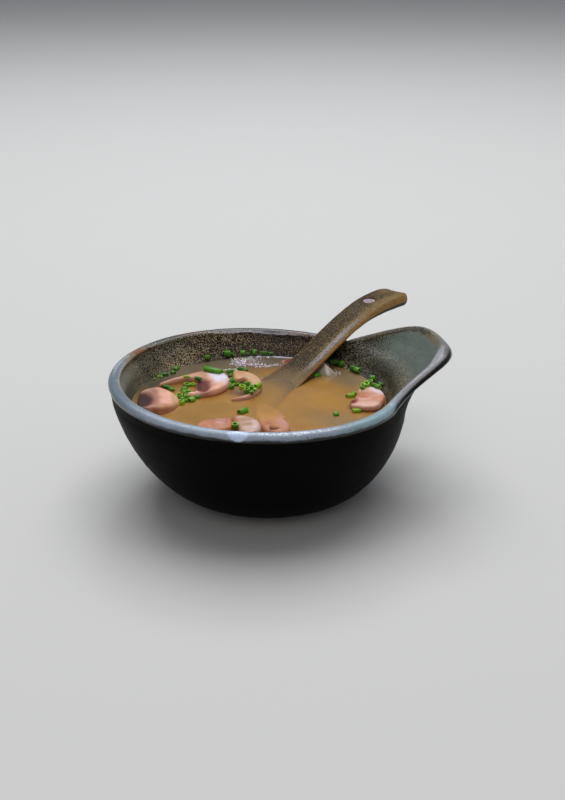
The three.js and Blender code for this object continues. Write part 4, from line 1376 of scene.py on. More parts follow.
@dataclass(frozen=True)
class MushroomSlice:
    """One slice of mushroom, drawn in its own plane: +X is the way its dome points."""

    number: int
    at: Pair
    dome: float
    half: float
    rise: float
    arc: Pair
    rest: tuple[Pair, ...]
    thick: float
    z: float
    pitch: float
    roll: float
    flesh: Colour
    # colour and share of the soaked foot and of the dark ring on the soup round the slice: wet stain with
    # painted contact shadow
    wet: Colour
    wet_and_shade: float
    stains: tuple[Stain, ...]

    SPACING = 0.45
    INSETS = (0.06, 0.18, 0.36, 0.6)
    ROUNDING = 1.7
    GILL_PITCH = 0.7
    GILL_DEPTH = 1.1
    GILL_RIDGE = 0.12
    UNEVEN = 0.14
    WALL_BULGE = 0.12
    WALL_LEVELS = 4

    def corners(self) -> Array:
        """Corners of the outline, anticlockwise: the dome's oval arc, then its margins and stem."""
        turn = np.linspace(self.arc[0], self.arc[1], 15) * DEG
        dome = np.stack([self.rise * np.cos(turn), self.half * np.sin(turn)], -1)
        return np.vstack([dome, np.array(self.rest)])

    def pose(self) -> Pose:
        """The slice's tilts, then its dome's azimuth."""
        turn = turned((self.dome, "Z"), (self.pitch, "Y"), (self.roll, "X"))
        return Pose(turn, np.array([*self.at, self.z]))

    def top_height(self, points: Array) -> Array:
        """Height of the slice's upper face over places in plan."""
        normal = self.pose().turn[:, 2]
        return self.z + (self.thick / 2 - (points - self.at) @ normal[:2]) / normal[2]

    def in_plane(self, points: Array) -> Array:
        """Places in plan, dropped onto the slice's upper face, in its own coordinates."""
        return self.pose().back(np.column_stack([points, self.top_height(points)]))[:, :2]

    def gills(self, flat: Array) -> Array:
        """How much of the gills lies at each place of the slice's plane."""
        shares = [stain.share(flat) for stain in self.stains if stain.gills]
        return np.max([np.zeros(len(flat)), *shares], axis=0)

    def comb(self, flat: Array, shift: Array | float = 0.0) -> Array:
        """Sine of the fine lines that run along the gills."""
        return np.sin(flat[:, 1] * FULL_TURN / self.GILL_PITCH + shift)

    def paint(self, flat: Array) -> Array:
        """Colours of the cut face at places in the slice's plane."""
        fray = np.column_stack([waves(flat, 5.0, seed + self.number, 3) for seed in (40, 70)])
        colour = coat(self.flesh, flat) * (1 + 0.05 * waves(flat, 7, 30 + self.number, 3))[:, None]
        colour = layered(colour, *((stain.colour, stain.share(flat + 0.45 * fray)) for stain in self.stains))
        comb = 0.5 + 0.5 * self.comb(flat, 2 * fray[:, 0])
        return np.clip(colour * (1 - 0.18 * comb * self.gills(flat))[:, None], 0, 1)

    def net(self, outline: Array, inward: Array) -> tuple[Array, Numbers]:
        """A Delaunay net over the face: a grid of even triangles, with close rings along the outline.

        Args:
            outline: The slice's edge.
            inward: Unit vectors into the slice at its points.

        Returns:
            Places, of which the outline's come first, and triangles.
        """
        low, high, step = outline.min(0), outline.max(0), self.SPACING
        x, y = np.meshgrid(np.arange(low[0], high[0], step), np.arange(low[1], high[1], step * 0.866))
        x = x + (np.arange(len(x)) % 2)[:, None] * step / 2
        inner = np.column_stack([x.ravel(), y.ravel()])
        parts = [outline]
        for inset in self.INSETS:
            ring = outline + inward * inset
            parts.append(ring[signed_distance(ring, outline) > 0.93 * inset])
        parts.append(inner[signed_distance(inner, outline) > 0.8])
        edges = [(i, (i + 1) % len(outline)) for i in range(len(outline))]
        places = [Vector(place) for place in np.vstack(parts)]
        made, _, triangles, *_ = geometry.delaunay_2d_cdt(places, edges, [], 1, 1e-6)
        return np.array([tuple(place) for place in made]), np.array(triangles)

    def skin(self) -> Skin:
        """A slab with well rounded edges, whose two faces are filled with a net.

        Near the outline both faces drop by a quarter circle. The upper one sinks where the gills lie, and
        fine ridges stand there.
        """
        outline = closed_curve(self.corners(), self.SPACING * 0.8)
        inward = inward_of(outline)
        flat, faces = self.net(outline, inward)
        into = np.clip(signed_distance(flat, outline), 0, None)
        rounding = min(self.ROUNDING, 0.36 * self.thick)
        drop = rounding * (1 - rounded(into, 1.25 * rounding))
        sunk = self.gills(flat + 0.3 * waves(flat, 3, 50 + self.number, 2)[:, None]) * ramp(0, 0.8, into)
        deep = min(self.GILL_DEPTH, 0.26 * self.thick) + self.GILL_RIDGE * self.comb(flat)
        relief = self.UNEVEN * waves(flat, 8, 90 + self.number, 2) - sunk * deep
        upper = self.thick / 2 - drop + relief * ramp(0, 1.2, into)
        lower = -self.thick / 2 + drop

        total, count, levels = len(flat), len(outline), self.WALL_LEVELS
        walls = []
        for t in np.arange(1, levels) / levels:
            plan = outline - inward * self.WALL_BULGE * math.sin(math.pi * t)
            walls.append(np.column_stack([plan, upper[:count] * (1 - t) + lower[:count] * t]))
        first = [0, *(2 * total + k * count for k in range(levels - 1)), total]
        wall_faces = strip_faces(np.array(first)[:, None] + np.arange(count))
        both = [np.column_stack([flat, z]) for z in (upper, lower)]
        points = self.pose().carry(np.vstack([*both, *walls]))

        face, rest = self.paint(flat), len(points) - total
        colours = np.vstack([face, face, *[face[:count]] * (levels - 1)])
        # the foot by the soup takes the wet colour: wet stain with painted contact shadow
        soaked = ramp(SOUP_LEVEL + 1.7, SOUP_LEVEL + 0.3, points[:, 2]) * self.wet_and_shade
        rim = np.concatenate([np.clip(1 - into / 2.5, 0.2, 1), np.ones(rest)])
        values = {
            "flesh": with_alpha(layered(colours, (self.wet, soaked * rim))),
            "gill": np.concatenate([sunk, np.zeros(rest)]),
        }
        return Skin(points, [faces, faces[:, ::-1] + total, wall_faces], values)


SLICES: tuple[MushroomSlice, ...] = (
    MushroomSlice(
        number=1, at=(-49.2, 5.0), dome=-8, half=14.5, rise=13.5, arc=(-100, 75),
        rest=((0.2, 12.2), (-2.8, 8.5), (-4.4, 4), (-4.6, -4), (-3.6, -11.8)),
        thick=6.5, z=42.6, pitch=8, roll=-3,
        flesh=srgb(240, 176, 150), wet=srgb(214, 150, 116), wet_and_shade=0.5,
        stains=(
            Stain((7.1, -1.1), (10.6, 4.0), 89, srgb(234, 174, 150), 0.8),
            Stain((3.2, 10.0), (4.8, 3.5), 53, srgb(208, 146, 122), 0.6),
            Stain((11.1, 0.3), (11.6, 1.2), -86, srgb(190, 150, 100), 0.7),
            Stain((6.2, -12.7), (6.2, 2.4), 53, srgb(178, 122, 72), 0.85, 0.5),
            Stain((1.9, -4.2), (13.0, 3.0), -88, srgb(150, 90, 72), 0.85),
            Stain((-4.0, -10.5), (5.0, 3.6), -80, srgb(92, 58, 50), 0.9),
            Stain((-2.6, -4.0), (10.5, 4.4), -88, srgb(66, 42, 40), 1, 0.35, gills=True),
            Stain((1.5, 6.6), (5.7, 2.1), 94, srgb(150, 100, 84), 0.5),
        ),
    ),
    MushroomSlice(
        number=2, at=(-24.8, 22.4), dome=-17, half=14.8, rise=14.6, arc=(-99, 68),
        rest=((-7, 7.6), (-17.5, -1.9), (-17, -3.4), (-7, 3.2), (-0.8, 3.4), (-0.6, -1.4), (0.5, -8),
              (0.6, -12), (-1.8, -12.8)),
        thick=4.6, z=42.6, pitch=-3, roll=2,
        flesh=srgb(236, 178, 150), wet=srgb(186, 112, 48), wet_and_shade=0.8,
        stains=(
            Stain((-9.3, 1.2), (12.0, 4.4), 37, srgb(190, 134, 104), 0.95, 0.3),
            Stain((-2.1, 5.7), (3.5, 2.4), 46, srgb(206, 154, 124), 0.7),
            Stain((1.5, 6.8), (5.3, 3.0), 86, srgb(186, 138, 108), 0.85, 0.5),
            # painted highlight: lavender-white on the upper right
            Stain((9.4, 4.3), (9.8, 3.9), -65, srgb(224, 216, 230), 1, 0.55),
            Stain((11.7, -7.4), (7.3, 2.9), 81, srgb(230, 166, 134), 0.7),
            Stain((4.4, -16.2), (6.8, 3.1), -16, srgb(238, 184, 162), 0.8),
            Stain((4.0, -5.8), (9.0, 4.4), -78, srgb(172, 108, 86), 0.85, 0.5),
            Stain((3.3, -5.7), (7.6, 3.2), -77, srgb(112, 62, 54), 1, 0.35, gills=True),
            Stain((1.6, -6.4), (4.2, 1.2), -80, srgb(78, 46, 44), 0.8, 0.5),
        ),
    ),
    MushroomSlice(
        number=3, at=(-9.2, 16.4), dome=-6, half=15.6, rise=13.2, arc=(-98, 85),
        rest=((0.5, 11.5), (1.6, 5.3), (5.4, 5.6), (7.4, -1.4), (7, -9.3), (4.6, -12.6), (1.6, -14.2)),
        thick=3.4, z=42.7, pitch=-2, roll=3,
        flesh=srgb(204, 156, 114), wet=srgb(190, 140, 100), wet_and_shade=0.6,
        stains=(
            Stain((3.0, 11.2), (4.7, 2.6), 60, srgb(198, 142, 90), 0.8, 0.5),
            Stain((10.4, 5.8), (7.0, 2.4), -70, srgb(206, 168, 128), 0.6),
            Stain((11.3, -2.0), (7.4, 2.0), -85, srgb(204, 162, 114), 0.6),
            Stain((8.3, -6.6), (6.1, 2.4), -84, srgb(178, 130, 98), 0.7),
            Stain((8.9, -11.8), (5.7, 1.6), 65, srgb(204, 156, 122), 0.7),
            Stain((2.4, -15.8), (2.7, 2.2), 8, srgb(208, 150, 126), 0.9, 0.5),
            Stain((5.2, -13.9), (4.3, 2.2), -152, srgb(212, 158, 136), 0.9, 0.5),
        ),
    ),
    MushroomSlice(
        number=4, at=(23.4, 41.8), dome=40, half=6.6, rise=7, arc=(-90, 90),
        rest=((-0.8, 5.6), (-0.8, -5.6)),
        thick=3, z=41.0, pitch=-4, roll=0,
        flesh=srgb(226, 160, 136), wet=srgb(150, 100, 60), wet_and_shade=0.6,
        stains=(
            Stain((1.2, 4.1), (3.9, 1.6), 16, srgb(98, 32, 36), 0.95, 0.4, gills=True),
        ),
    ),
    MushroomSlice(
        number=5, at=(43.0, -10.8), dome=-22, half=12.3, rise=12, arc=(-20, 75),
        rest=((0.2, 11.2), (-0.9, 9.4), (-1.2, 4.5), (-1.3, -1), (-2.8, -3.6), (-2.2, -7.4), (-0.5, -8.9),
              (2.5, -9.8), (6.3, -9.7), (9.3, -8.6), (11.0, -6.6)),
        thick=3.5, z=43.2, pitch=-3, roll=5,
        flesh=srgb(200, 144, 120), wet=srgb(120, 68, 36), wet_and_shade=0.8,
        stains=(
            # painted highlight: lavender-white on the upper right
            Stain((6.8, 8.1), (6.4, 2.4), 132, srgb(228, 208, 214), 0.95),
            Stain((0.7, 8.6), (2.5, 1.5), 100, srgb(220, 188, 164), 0.8),
            Stain((2.0, 1.6), (3.2, 2.7), 150, srgb(174, 94, 42), 1, 0.5),
            Stain((5.6, 2.4), (3.4, 1.5), -160, srgb(200, 136, 100), 0.7),
            Stain((8.1, -1.6), (3.2, 1.0), -147, srgb(204, 126, 86), 0.8, 0.5),
            Stain((10.9, -0.9), (2.4, 0.9), 98, srgb(206, 120, 72), 0.8, 0.5),
            Stain((5.4, -7.2), (5.6, 2.2), -178, srgb(224, 178, 158), 0.7),
            Stain((-2.0, -4.0), (2.6, 2.2), 101, srgb(118, 50, 40), 0.95, 0.5, gills=True),
            Stain((-1.0, -8.2), (1.8, 1.2), 20, srgb(222, 168, 146), 0.9, 0.5),
        ),
    ),
    MushroomSlice(
        number=6, at=(-24.0, -35.5), dome=104, half=9.4, rise=10.2, arc=(-20, 78),
        rest=((-1.1, 8.4), (-1.2, 2), (-1.2, -6.5), (6, -9.6), (8.8, -8.4)),
        thick=5, z=43.2, pitch=-4, roll=2,
        flesh=srgb(182, 114, 72), wet=srgb(160, 100, 50), wet_and_shade=0.6,
        stains=(
            Stain((4.7, -3.6), (3.8, 2.1), -24, srgb(192, 134, 112), 0.8),
            Stain((5.3, -6.6), (4.8, 0.5), -27, srgb(158, 96, 68), 0.8, 0.5),
            Stain((5.0, -7.6), (4.8, 0.3), -27, srgb(190, 128, 100), 0.6, 0.5),
            Stain((5.5, -9.0), (3.9, 1.1), -23, srgb(168, 98, 52), 0.8),
            Stain((9.5, -3.0), (1.5, 6.4), -4, srgb(104, 92, 20), 1, 0.3),
        ),
    ),
    MushroomSlice(
        number=7, at=(-14.2, -33.8), dome=6, half=10.2, rise=9.2, arc=(-92, 92),
        rest=((-1.1, 8.7), (-1.1, -8.7)),
        thick=5.5, z=42.8, pitch=-3, roll=3,
        flesh=srgb(184, 138, 108), wet=srgb(150, 98, 46), wet_and_shade=0.7,
        stains=(
            Stain((-0.6, 4.7), (6.5, 1.7), 75, srgb(172, 108, 64), 0.75),
            Stain((4.2, 3.6), (6.4, 3.0), 76, srgb(180, 140, 112), 0.6),
            Stain((6.8, -2.5), (5.6, 1.7), 81, srgb(214, 180, 172), 0.85),
            Stain((3.2, -5.6), (3.4, 2.7), -30, srgb(206, 174, 162), 0.7),
        ),
    ),
    MushroomSlice(
        number=8, at=(0.5, -25.0), dome=1, half=21, rise=7.5, arc=(-98, 98),
        rest=((-3, 15), (-4.6, 5), (-5.2, -7), (-4.4, -17)),
        thick=5, z=40.3, pitch=4, roll=-10,
        flesh=srgb(196, 137, 102), wet=srgb(186, 132, 76), wet_and_shade=0.7,
        stains=(
            Stain((0.7, 13.5), (13.0, 6.5), 80, srgb(196, 144, 74), 1, 0.5),
            Stain((-0.8, -2.4), (7.4, 1.5), 97, srgb(186, 126, 80), 0.7),
            Stain((4.7, -7.7), (10.5, 2.8), 89, srgb(206, 146, 128), 0.8),
            Stain((-2.0, -8.5), (5.9, 1.5), 100, srgb(176, 110, 66), 0.8, 0.5),
            Stain((-1.4, -15.3), (3.0, 2.1), 71, srgb(98, 48, 38), 0.95, 0.4, gills=True),
        ),
    ),
)  # fmt: skip


class MushroomFlesh(Look):
    """Wet mushroom: painted flesh with fine grain under a thin film of soup."""

    def material(self) -> Material:
        """The flesh, whose colour the points carry."""
        finish = Finish("wet mushroom flesh", self.effects)
        nodes = finish.nodes
        grain = finish.grain(0.9, nodes.colour("flesh"), 0.28)
        return finish.surface(
            Base_Color=finish.grain(4.0, grain.outputs["Colour"], 0.3).outputs["Colour"],
            Roughness=nodes.steps(nodes.value("gill"), 0, 0.5, (0.4, 0.85)),
            IOR=1.4,
            Specular_IOR_Level=0.4,
            Subsurface_Weight=0.18,
            Subsurface_Radius=(1.0, 0.5, 0.3),
            Subsurface_Scale=1.6 * MM,
            Coat_Weight=nodes.steps(nodes.value("gill"), 0, 0.4, (0.15, 0)),
            Coat_Roughness=0.2,
            height=grain.outputs["Relief"],
            depth=0.1,
        )


# --- tofu


@dataclass
class Tofu:
    """A thin square of tofu that leans back and pokes one corner out of the soup."""

    size: Triple = (10.0, 3.2, 10.0)
    corner: Triple = (36.7, 28.5, 46.6)
    heading: float = 79.3 * DEG
    rounding: float = 0.55
    crumble: float = 0.18
    ridge_at: float = 30.8
    ridge_lean: float = 0.27
    steps: int = 22

    # painted light: one face shaded and the other lit, with a painted highlight along the ridge
    SHADED = srgb(174, 156, 138)
    LIT = srgb(176, 162, 148)
    RIDGE_HIGHLIGHT = srgb(246, 228, 222)
    SOAKED = srgb(160, 128, 80)

    def pose(self) -> Pose:
        """Stands the square on one corner, then turns the face that looks back to its heading."""
        turn = Vector((1, 1, 1)).normalized().rotation_difference(Vector((0, 0, 1)))
        edge = turn @ Vector((0, -1, 0))
        turn = Matrix.Rotation(self.heading - math.atan2(edge.y, edge.x), 3, "Z") @ turn.to_matrix()
        return Pose(np.array(turn), np.array(self.corner) - np.array(turn) @ np.array(self.size) / 2)

    def paint(self, points: Array) -> Array:
        """Colours of the curd: a painted shaded face and a lit one, with a painted highlight along the ridge
        between them, tinted by the soup at its foot.
        """
        ridge = self.ridge_at + self.ridge_lean * (self.corner[2] - points[:, 2])
        beside = points[:, 0] * math.cos(RIGHTWARD) + points[:, 1] * math.sin(RIGHTWARD) - ridge
        return layered(
            coat(self.SHADED, points),
            (self.LIT, ramp(-0.3, 0.6, beside)),
            (self.RIDGE_HIGHLIGHT, bell(beside, 0.9)),
            (self.SOAKED, 1 - fade(SOUP_LEVEL + 1.2 - points[:, 2], 1.5)),
        )

    def skin(self) -> Skin:
        """A box whose six gridded faces are pulled onto rounded edges, with crumbly unevenness.

        A point keeps its place less the rounding, and moves out by the rounding along what is left.
        """
        n = self.steps
        line = np.linspace(-1, 1, n)
        a, b = (g.ravel() for g in np.meshgrid(line, line, indexing="ij"))
        one = np.ones_like(a)
        panels = [(one, a, b), (-one, b, a), (b, one, a), (a, -one, b), (a, b, one), (b, a, -one)]
        cube = np.vstack([np.stack(p, -1) for p in panels])
        faces = np.vstack([grid_faces(n, n, wrap_columns=False) + k * n * n for k in range(len(panels))])
        half = np.array(self.size) / 2
        core = np.clip(cube * half, self.rounding - half, half - self.rounding)
        away = cube * half - core
        points = core + away / (np.linalg.norm(away, axis=1)[:, None] + 1e-9) * self.rounding
        inward = -points / np.linalg.norm(points, axis=1)[:, None]
        points = points + inward * (self.crumble * (1 + waves(points, 2.6, 12, 3)))[:, None]
        keys, index = np.unique(np.round(cube * 1e4).astype(int), axis=0, return_inverse=True)
        merged = np.zeros((len(keys), 3))
        merged[index.ravel()] = points
        placed = self.pose().carry(merged)
        return Skin(placed, [index.ravel()[faces]], {"curd": with_alpha(self.paint(placed))})


class TofuCurd(Look):
    """Soft white curd that lets light through."""

    def material(self) -> Material:
        """The curd, whose colour the points carry."""
        finish = Finish("soft tofu", self.effects)
        grain = finish.grain(0.7, finish.nodes.colour("curd"), 0.16)
        return finish.surface(
            Base_Color=grain.outputs["Colour"],
            Roughness=0.4,
            IOR=1.38,
            Subsurface_Weight=0.35,
            Subsurface_Radius=(1.0, 0.85, 0.6),
            Subsurface_Scale=2 * MM,
            Coat_Weight=0.3,
            Coat_Roughness=0.15,
            height=grain.outputs["Relief"],
            depth=0.15,
        )


# --- chives


class Support(Enum):
    """What a cut of chive lies on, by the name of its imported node."""

    WALL = "bowl"
    SOUP = "soup"
    SLICE_2 = "mushroom_slice_2"
    SLICE_3 = "mushroom_slice_3"
    SLICE_5 = "mushroom_slice_5"
    SLICE_7 = "mushroom_slice_7"

    def slice(self) -> MushroomSlice:
        """The slice whose number ends the name."""
        return SLICES[int(self.value[-1]) - 1]


@dataclass(frozen=True)
class Chive:
    """One cut of chive: where and on what, its length and radius, its heading, None on end, and its tone."""

    on: Support
    at: Pair
    length: float
    radius: float
    heading: float | None
    tone: float


# the chives heap by heap, each cut by x, y, length, radius, heading and tone
HEAPS: tuple[tuple[Support, tuple[tuple[float | None, ...], ...]], ...] = (
    (Support.WALL, (
        (-15.6, 53.9, 2.2, 1.2, -11, 0.3), (-5.7, 56.2, 2.9, 1.6, -11, 0.3),
        (-3.5, 57.6, 1.8, 1.1, -11, 0.1), (1.8, 57.8, 2.2, 1.45, -11, 0.4), (4.1, 57.1, 1.8, 0.9, -11, 0.05),
        (7.6, 57.0, 2.3, 1.5, -11, 0.45), (11.8, 54.2, 3.4, 1.0, -11, 0.15),
        (14.8, 53.0, 2.2, 0.9, -11, 0.1),
    )),
    (Support.SOUP, (
        (-38.7, 39.3, 3.8, 1.3, 6, 0.15), (-40.8, 37.2, 1.8, 1.2, None, 0.1),
        (-32.3, 45.7, 3.2, 1.3, 56, 0.25), (-34.2, 41.3, 2.2, 1.1, 37, 0.1),
        (-44.0, 34.3, 1.7, 1.1, None, 0.05), (-39.6, 23.6, 6.2, 1.2, -43, 0.1),
        (-37.2, 20.0, 2.6, 1.1, -65, 0.3),
    )),
    (Support.SLICE_2, (
        (-16.7, 29.4, 9.6, 1.45, -41, 0.5), (-29.4, 26.8, 2.6, 0.8, -11, 0.8),
        (-24.4, 22.1, 3.0, 1.1, -36, 0.05),
    )),
    (Support.SOUP, (
        (-29.6, 24.3, 2.2, 1.75, None, 0.5), (-26.8, 23.8, 2.2, 1.5, None, 0.75),
        (-31.5, 18.9, 2.6, 1.5, 76, 0.3), (-32.1, 14.5, 3.2, 1.6, 71, 0.55),
        (-30.0, 15.0, 2.4, 1.3, None, 0.2), (-34.6, 10.9, 2.4, 1.7, None, 0.35),
        (-30.8, 10.0, 2.6, 1.9, None, 0.6), (-28.6, 9.9, 3.0, 1.4, -53, 0.7),
        (-26.7, 8.3, 2.8, 1.35, 3, 0.5), (-29.8, 5.5, 2.8, 1.5, 35, 0.65),
        (-32.3, 5.3, 2.0, 1.4, None, 0.35), (-35.1, 2.9, 2.6, 1.8, None, 0.95),
        (-37.1, 1.2, 2.0, 1.4, 35, 0.9), (-33.7, 7.1, 2.2, 1.3, 49, 0.25), (-24.7, 8.3, 2.6, 0.7, 15, 0.7),
        (-52.0, 3.0, 2.2, 1.5, None, 0.95), (-49.5, -1.4, 2.6, 1.25, -58, 0.1),
        (-7.2, 37.9, 3.8, 1.2, 3, 0.3), (-8.0, 32.0, 2.8, 1.3, 76, 0.1), (-8.2, 24.2, 3.0, 2.1, None, 0.4),
        (-7.1, 20.9, 2.0, 1.4, None, 0.25), (-10.1, 17.4, 2.6, 1.6, None, 0.2),
        (-12.3, 17.0, 2.2, 1.5, None, 0.8), (-10.7, 21.0, 2.4, 1.4, None, 0.15),
        (-1.5, 39.8, 3.6, 1.25, -37, 0.1), (-0.1, 38.0, 2.0, 1.1, -68, 0.2),
    )),
    (Support.SLICE_3, (
        (-5.9, 10.2, 2.0, 1.6, None, 0.95), (-3.3, 12.6, 2.2, 1.55, None, 0.55),
        (-2.0, 8.3, 2.0, 1.3, None, 0.15), (-4.6, 5.3, 2.4, 1.75, None, 0.25),
        (-2.9, 3.9, 1.8, 1.1, None, 0.3), (1.0, 9.5, 3.8, 1.35, 42, 0.85), (-0.9, 6.1, 2.2, 0.9, 68, 0.9),
    )),
    (Support.SOUP, ((-9.2, -11.9, 4.6, 1.5, 33, 0.6),)),
    (Support.SLICE_7, ((-16.3, -35.2, 2.1, 1.5, None, 0.3),)),
    (Support.SOUP, (
        (41.5, -2.8, 3.8, 1.4, 9, 0.8), (44.2, -0.4, 2.0, 1.2, None, 0.3),
        (39.9, -20.6, 3.8, 1.35, -3, 0.75), (30.3, -22.3, 2.0, 1.1, 13, 0.55),
    )),
    (Support.SLICE_5, (
        (47.3, -2.5, 2.0, 1.35, None, 0.25), (49.0, -2.0, 2.2, 1.5, None, 0.95),
        (50.9, -0.8, 2.4, 1.5, None, 0.3), (46.6, -4.2, 1.8, 1.2, None, 0.5),
        (52.1, -3.5, 2.4, 1.1, -48, 0.25), (53.4, -5.5, 2.4, 1.2, -48, 0.3),
    )),
    (Support.WALL, (
        (52.4, 12.2, 2.2, 1.3, -11, 0.3), (56.6, 3.9, 2.2, 1.25, -57, 0.2), (41.1, 36.0, 2.6, 1.4, 34, 0.15),
        (43.2, 36.4, 2.4, 1.4, -11, 0.05), (40.9, 30.5, 2.4, 1.4, -57, 0.1),
        (43.5, 31.7, 2.2, 1.3, -11, 0.15), (48.6, 23.4, 2.8, 1.4, -49, 0.3),
        (47.3, 25.8, 2.4, 1.3, -49, 0.15), (45.8, 22.6, 1.8, 1.1, -11, 0.1),
    )),
    (Support.SOUP, ((31.6, 24.7, 3.4, 1.5, 31, 0.6), (34.1, 28.5, 1.8, 1.1, None, 0.35))),
)  # fmt: skip
CHIVES = tuple(Chive(on, cut[:2], *cut[2:]) for on, heap in HEAPS for cut in heap)


@dataclass
class Chives:
    """Cut chives: short hollow tubes, afloat, against the wall and on the slices."""

    bowl: Bowl
    sides: int = 18
    wall: float = 0.52
    corner: float = 0.09
    pinch: float = 0.07
    squash: float = 0.25
    slant: float = 0.12
    bow: float = 0.03
    lean: float = 18.0
    tilt: float = 7.0
    floats: float = 0.35  # middle over the soup, in radii
    lies: float = 0.5  # middle over a slice or off the wall, in radii
    sunk: float = 0.9  # depth of one afloat on end
    pressed: float = 0.6  # depth of one on end on a slice
    seed: int = 20

    def middle(self, chive: Chive) -> Array:
        """Where a chive's middle lies: afloat, against the wall over the waterline, or on a slice's face."""
        x, y = chive.at
        on_end = chive.heading is None
        if chive.on is Support.SOUP:
            lift = chive.length / 2 - self.sunk if on_end else self.floats * chive.radius
            return np.array([x, y, SOUP_LEVEL + lift])
        if chive.on is Support.WALL:
            azimuth, z = np.arctan2(y, x), SOUP_LEVEL + 2 * GAP + 1.1 * chive.radius
            out = self.bowl.inner_radius(z, azimuth) - self.lies * chive.radius
            return np.array([*around(out, azimuth), z])
        lift = chive.length / 2 - self.pressed if on_end else self.lies * chive.radius
        return np.array([x, y, float(chive.on.slice().top_height(np.array([chive.at]))[0]) + lift])

    def tube(self, chive: Chive, random: np.random.Generator) -> Skin:
        """One chive along Y: rings carried round a wall's section, squeezed a little to an oval and bent.

        The section runs up the outside, over the cut, down the inside and back, with rounded corners.
        """
        outer, h, c = chive.radius, chive.length / 2, self.corner
        bore = outer - self.wall
        section = np.array([
            (outer, -h + c), (outer, 0), (outer, h - c), (outer - c, h), (bore + c, h),
            (bore, h - c), (bore, 0), (bore, -h + c), (bore + c, -h), (outer - c, -h),
        ])  # fmt: skip
        cut = np.array([0, 0, 0, 0.8, 1, 0.7, 0.2, 0.7, 1, 0.8])
        turn = np.arange(self.sides) / self.sides * FULL_TURN
        squeeze = 1 - self.squash * random.random()
        radius = section[:, :1] * (1 + self.pinch * np.sin(3 * turn + random.uniform(0, 6)))
        slant = self.slant * outer * np.sin(turn + random.uniform(0, 6))
        y = section[:, 1:] + slant * np.sign(section[:, 1:])
        bend = self.bow * max(chive.length - 2, 0) * (y / max(h, 0.1)) ** 2
        x, z = radius * np.cos(turn) + bend, radius * np.sin(turn) * squeeze
        points = np.stack([x, y, z], -1).reshape(-1, 3)
        values = {
            "tone": np.full(len(points), np.clip(chive.tone + random.uniform(-0.06, 0.06), 0, 1)),
            "cut": np.repeat(cut, self.sides),
            "round": np.tile(turn / FULL_TURN, len(section)),
        }
        return Skin(points, [grid_faces(len(section), self.sides, wrap_rows=True)], values)

    def skins(self) -> dict[Support, Skin]:
        """The chives of each thing that they lie on, joined."""
        random = np.random.default_rng(self.seed)
        groups: dict[Support, list[Skin]] = {}
        for chive in CHIVES:
            tube = self.tube(chive, random)
            if chive.heading is None:
                lean = random.uniform(-self.lean, self.lean)
                turn = turned((random.uniform(0, 360), "Z"), (90 + lean, "X"))
            else:
                tilt = random.uniform(-self.tilt, self.tilt)
                turn = turned((chive.heading, "Z"), (tilt, "X"), (90, "Z"))
            tube.points = Pose(turn, self.middle(chive)).carry(tube.points)
            tube.face_outward()
            groups.setdefault(chive.on, []).append(tube)
        return {on: Skin.joined(skins) for on, skins in groups.items()}


class ChiveSkin(Look):
    """Fresh green chive: deep to yellow green, pale where cut, faintly lined along its length."""

    DEEP = srgb(24, 78, 22)
    GREEN = srgb(64, 134, 16)
    YELLOW = srgb(150, 186, 20)
    CUT = srgb(146, 194, 62)
    LINES = 14

    def material(self) -> Material:
        """The skin, from each chive's tone and where it is cut."""
        finish = Finish("cut chive", self.effects)
        nodes = finish.nodes
        tone = nodes.value("tone")
        deep = nodes.mix(nodes.steps(tone, 0.0, 0.45), self.DEEP, self.GREEN)
        colour = nodes.mix(nodes.steps(tone, 0.5, 1.0), deep, self.YELLOW)
        lines = nodes.math("SINE", nodes.times(nodes.value("round"), FULL_TURN * self.LINES))
        colour = nodes.mix(nodes.math("MULTIPLY_ADD", lines, 0.12, 0.12), colour, self.CUT)
        colour = nodes.mix(nodes.times(nodes.value("cut"), 0.85), colour, self.CUT)
        grain = finish.grain(1.2, colour, 0.5)
        return finish.surface(
            Base_Color=grain.outputs["Colour"],
            Roughness=0.4,
            IOR=1.4,
            Specular_IOR_Level=0.3,
            Subsurface_Weight=0.12,
            Subsurface_Radius=(0.6, 1.0, 0.3),
            Subsurface_Scale=0.8 * MM,
            Coat_Weight=0.18,
            Coat_Roughness=0.15,
            height=grain.outputs["Relief"],
            depth=0.04,
        )


# --- soup


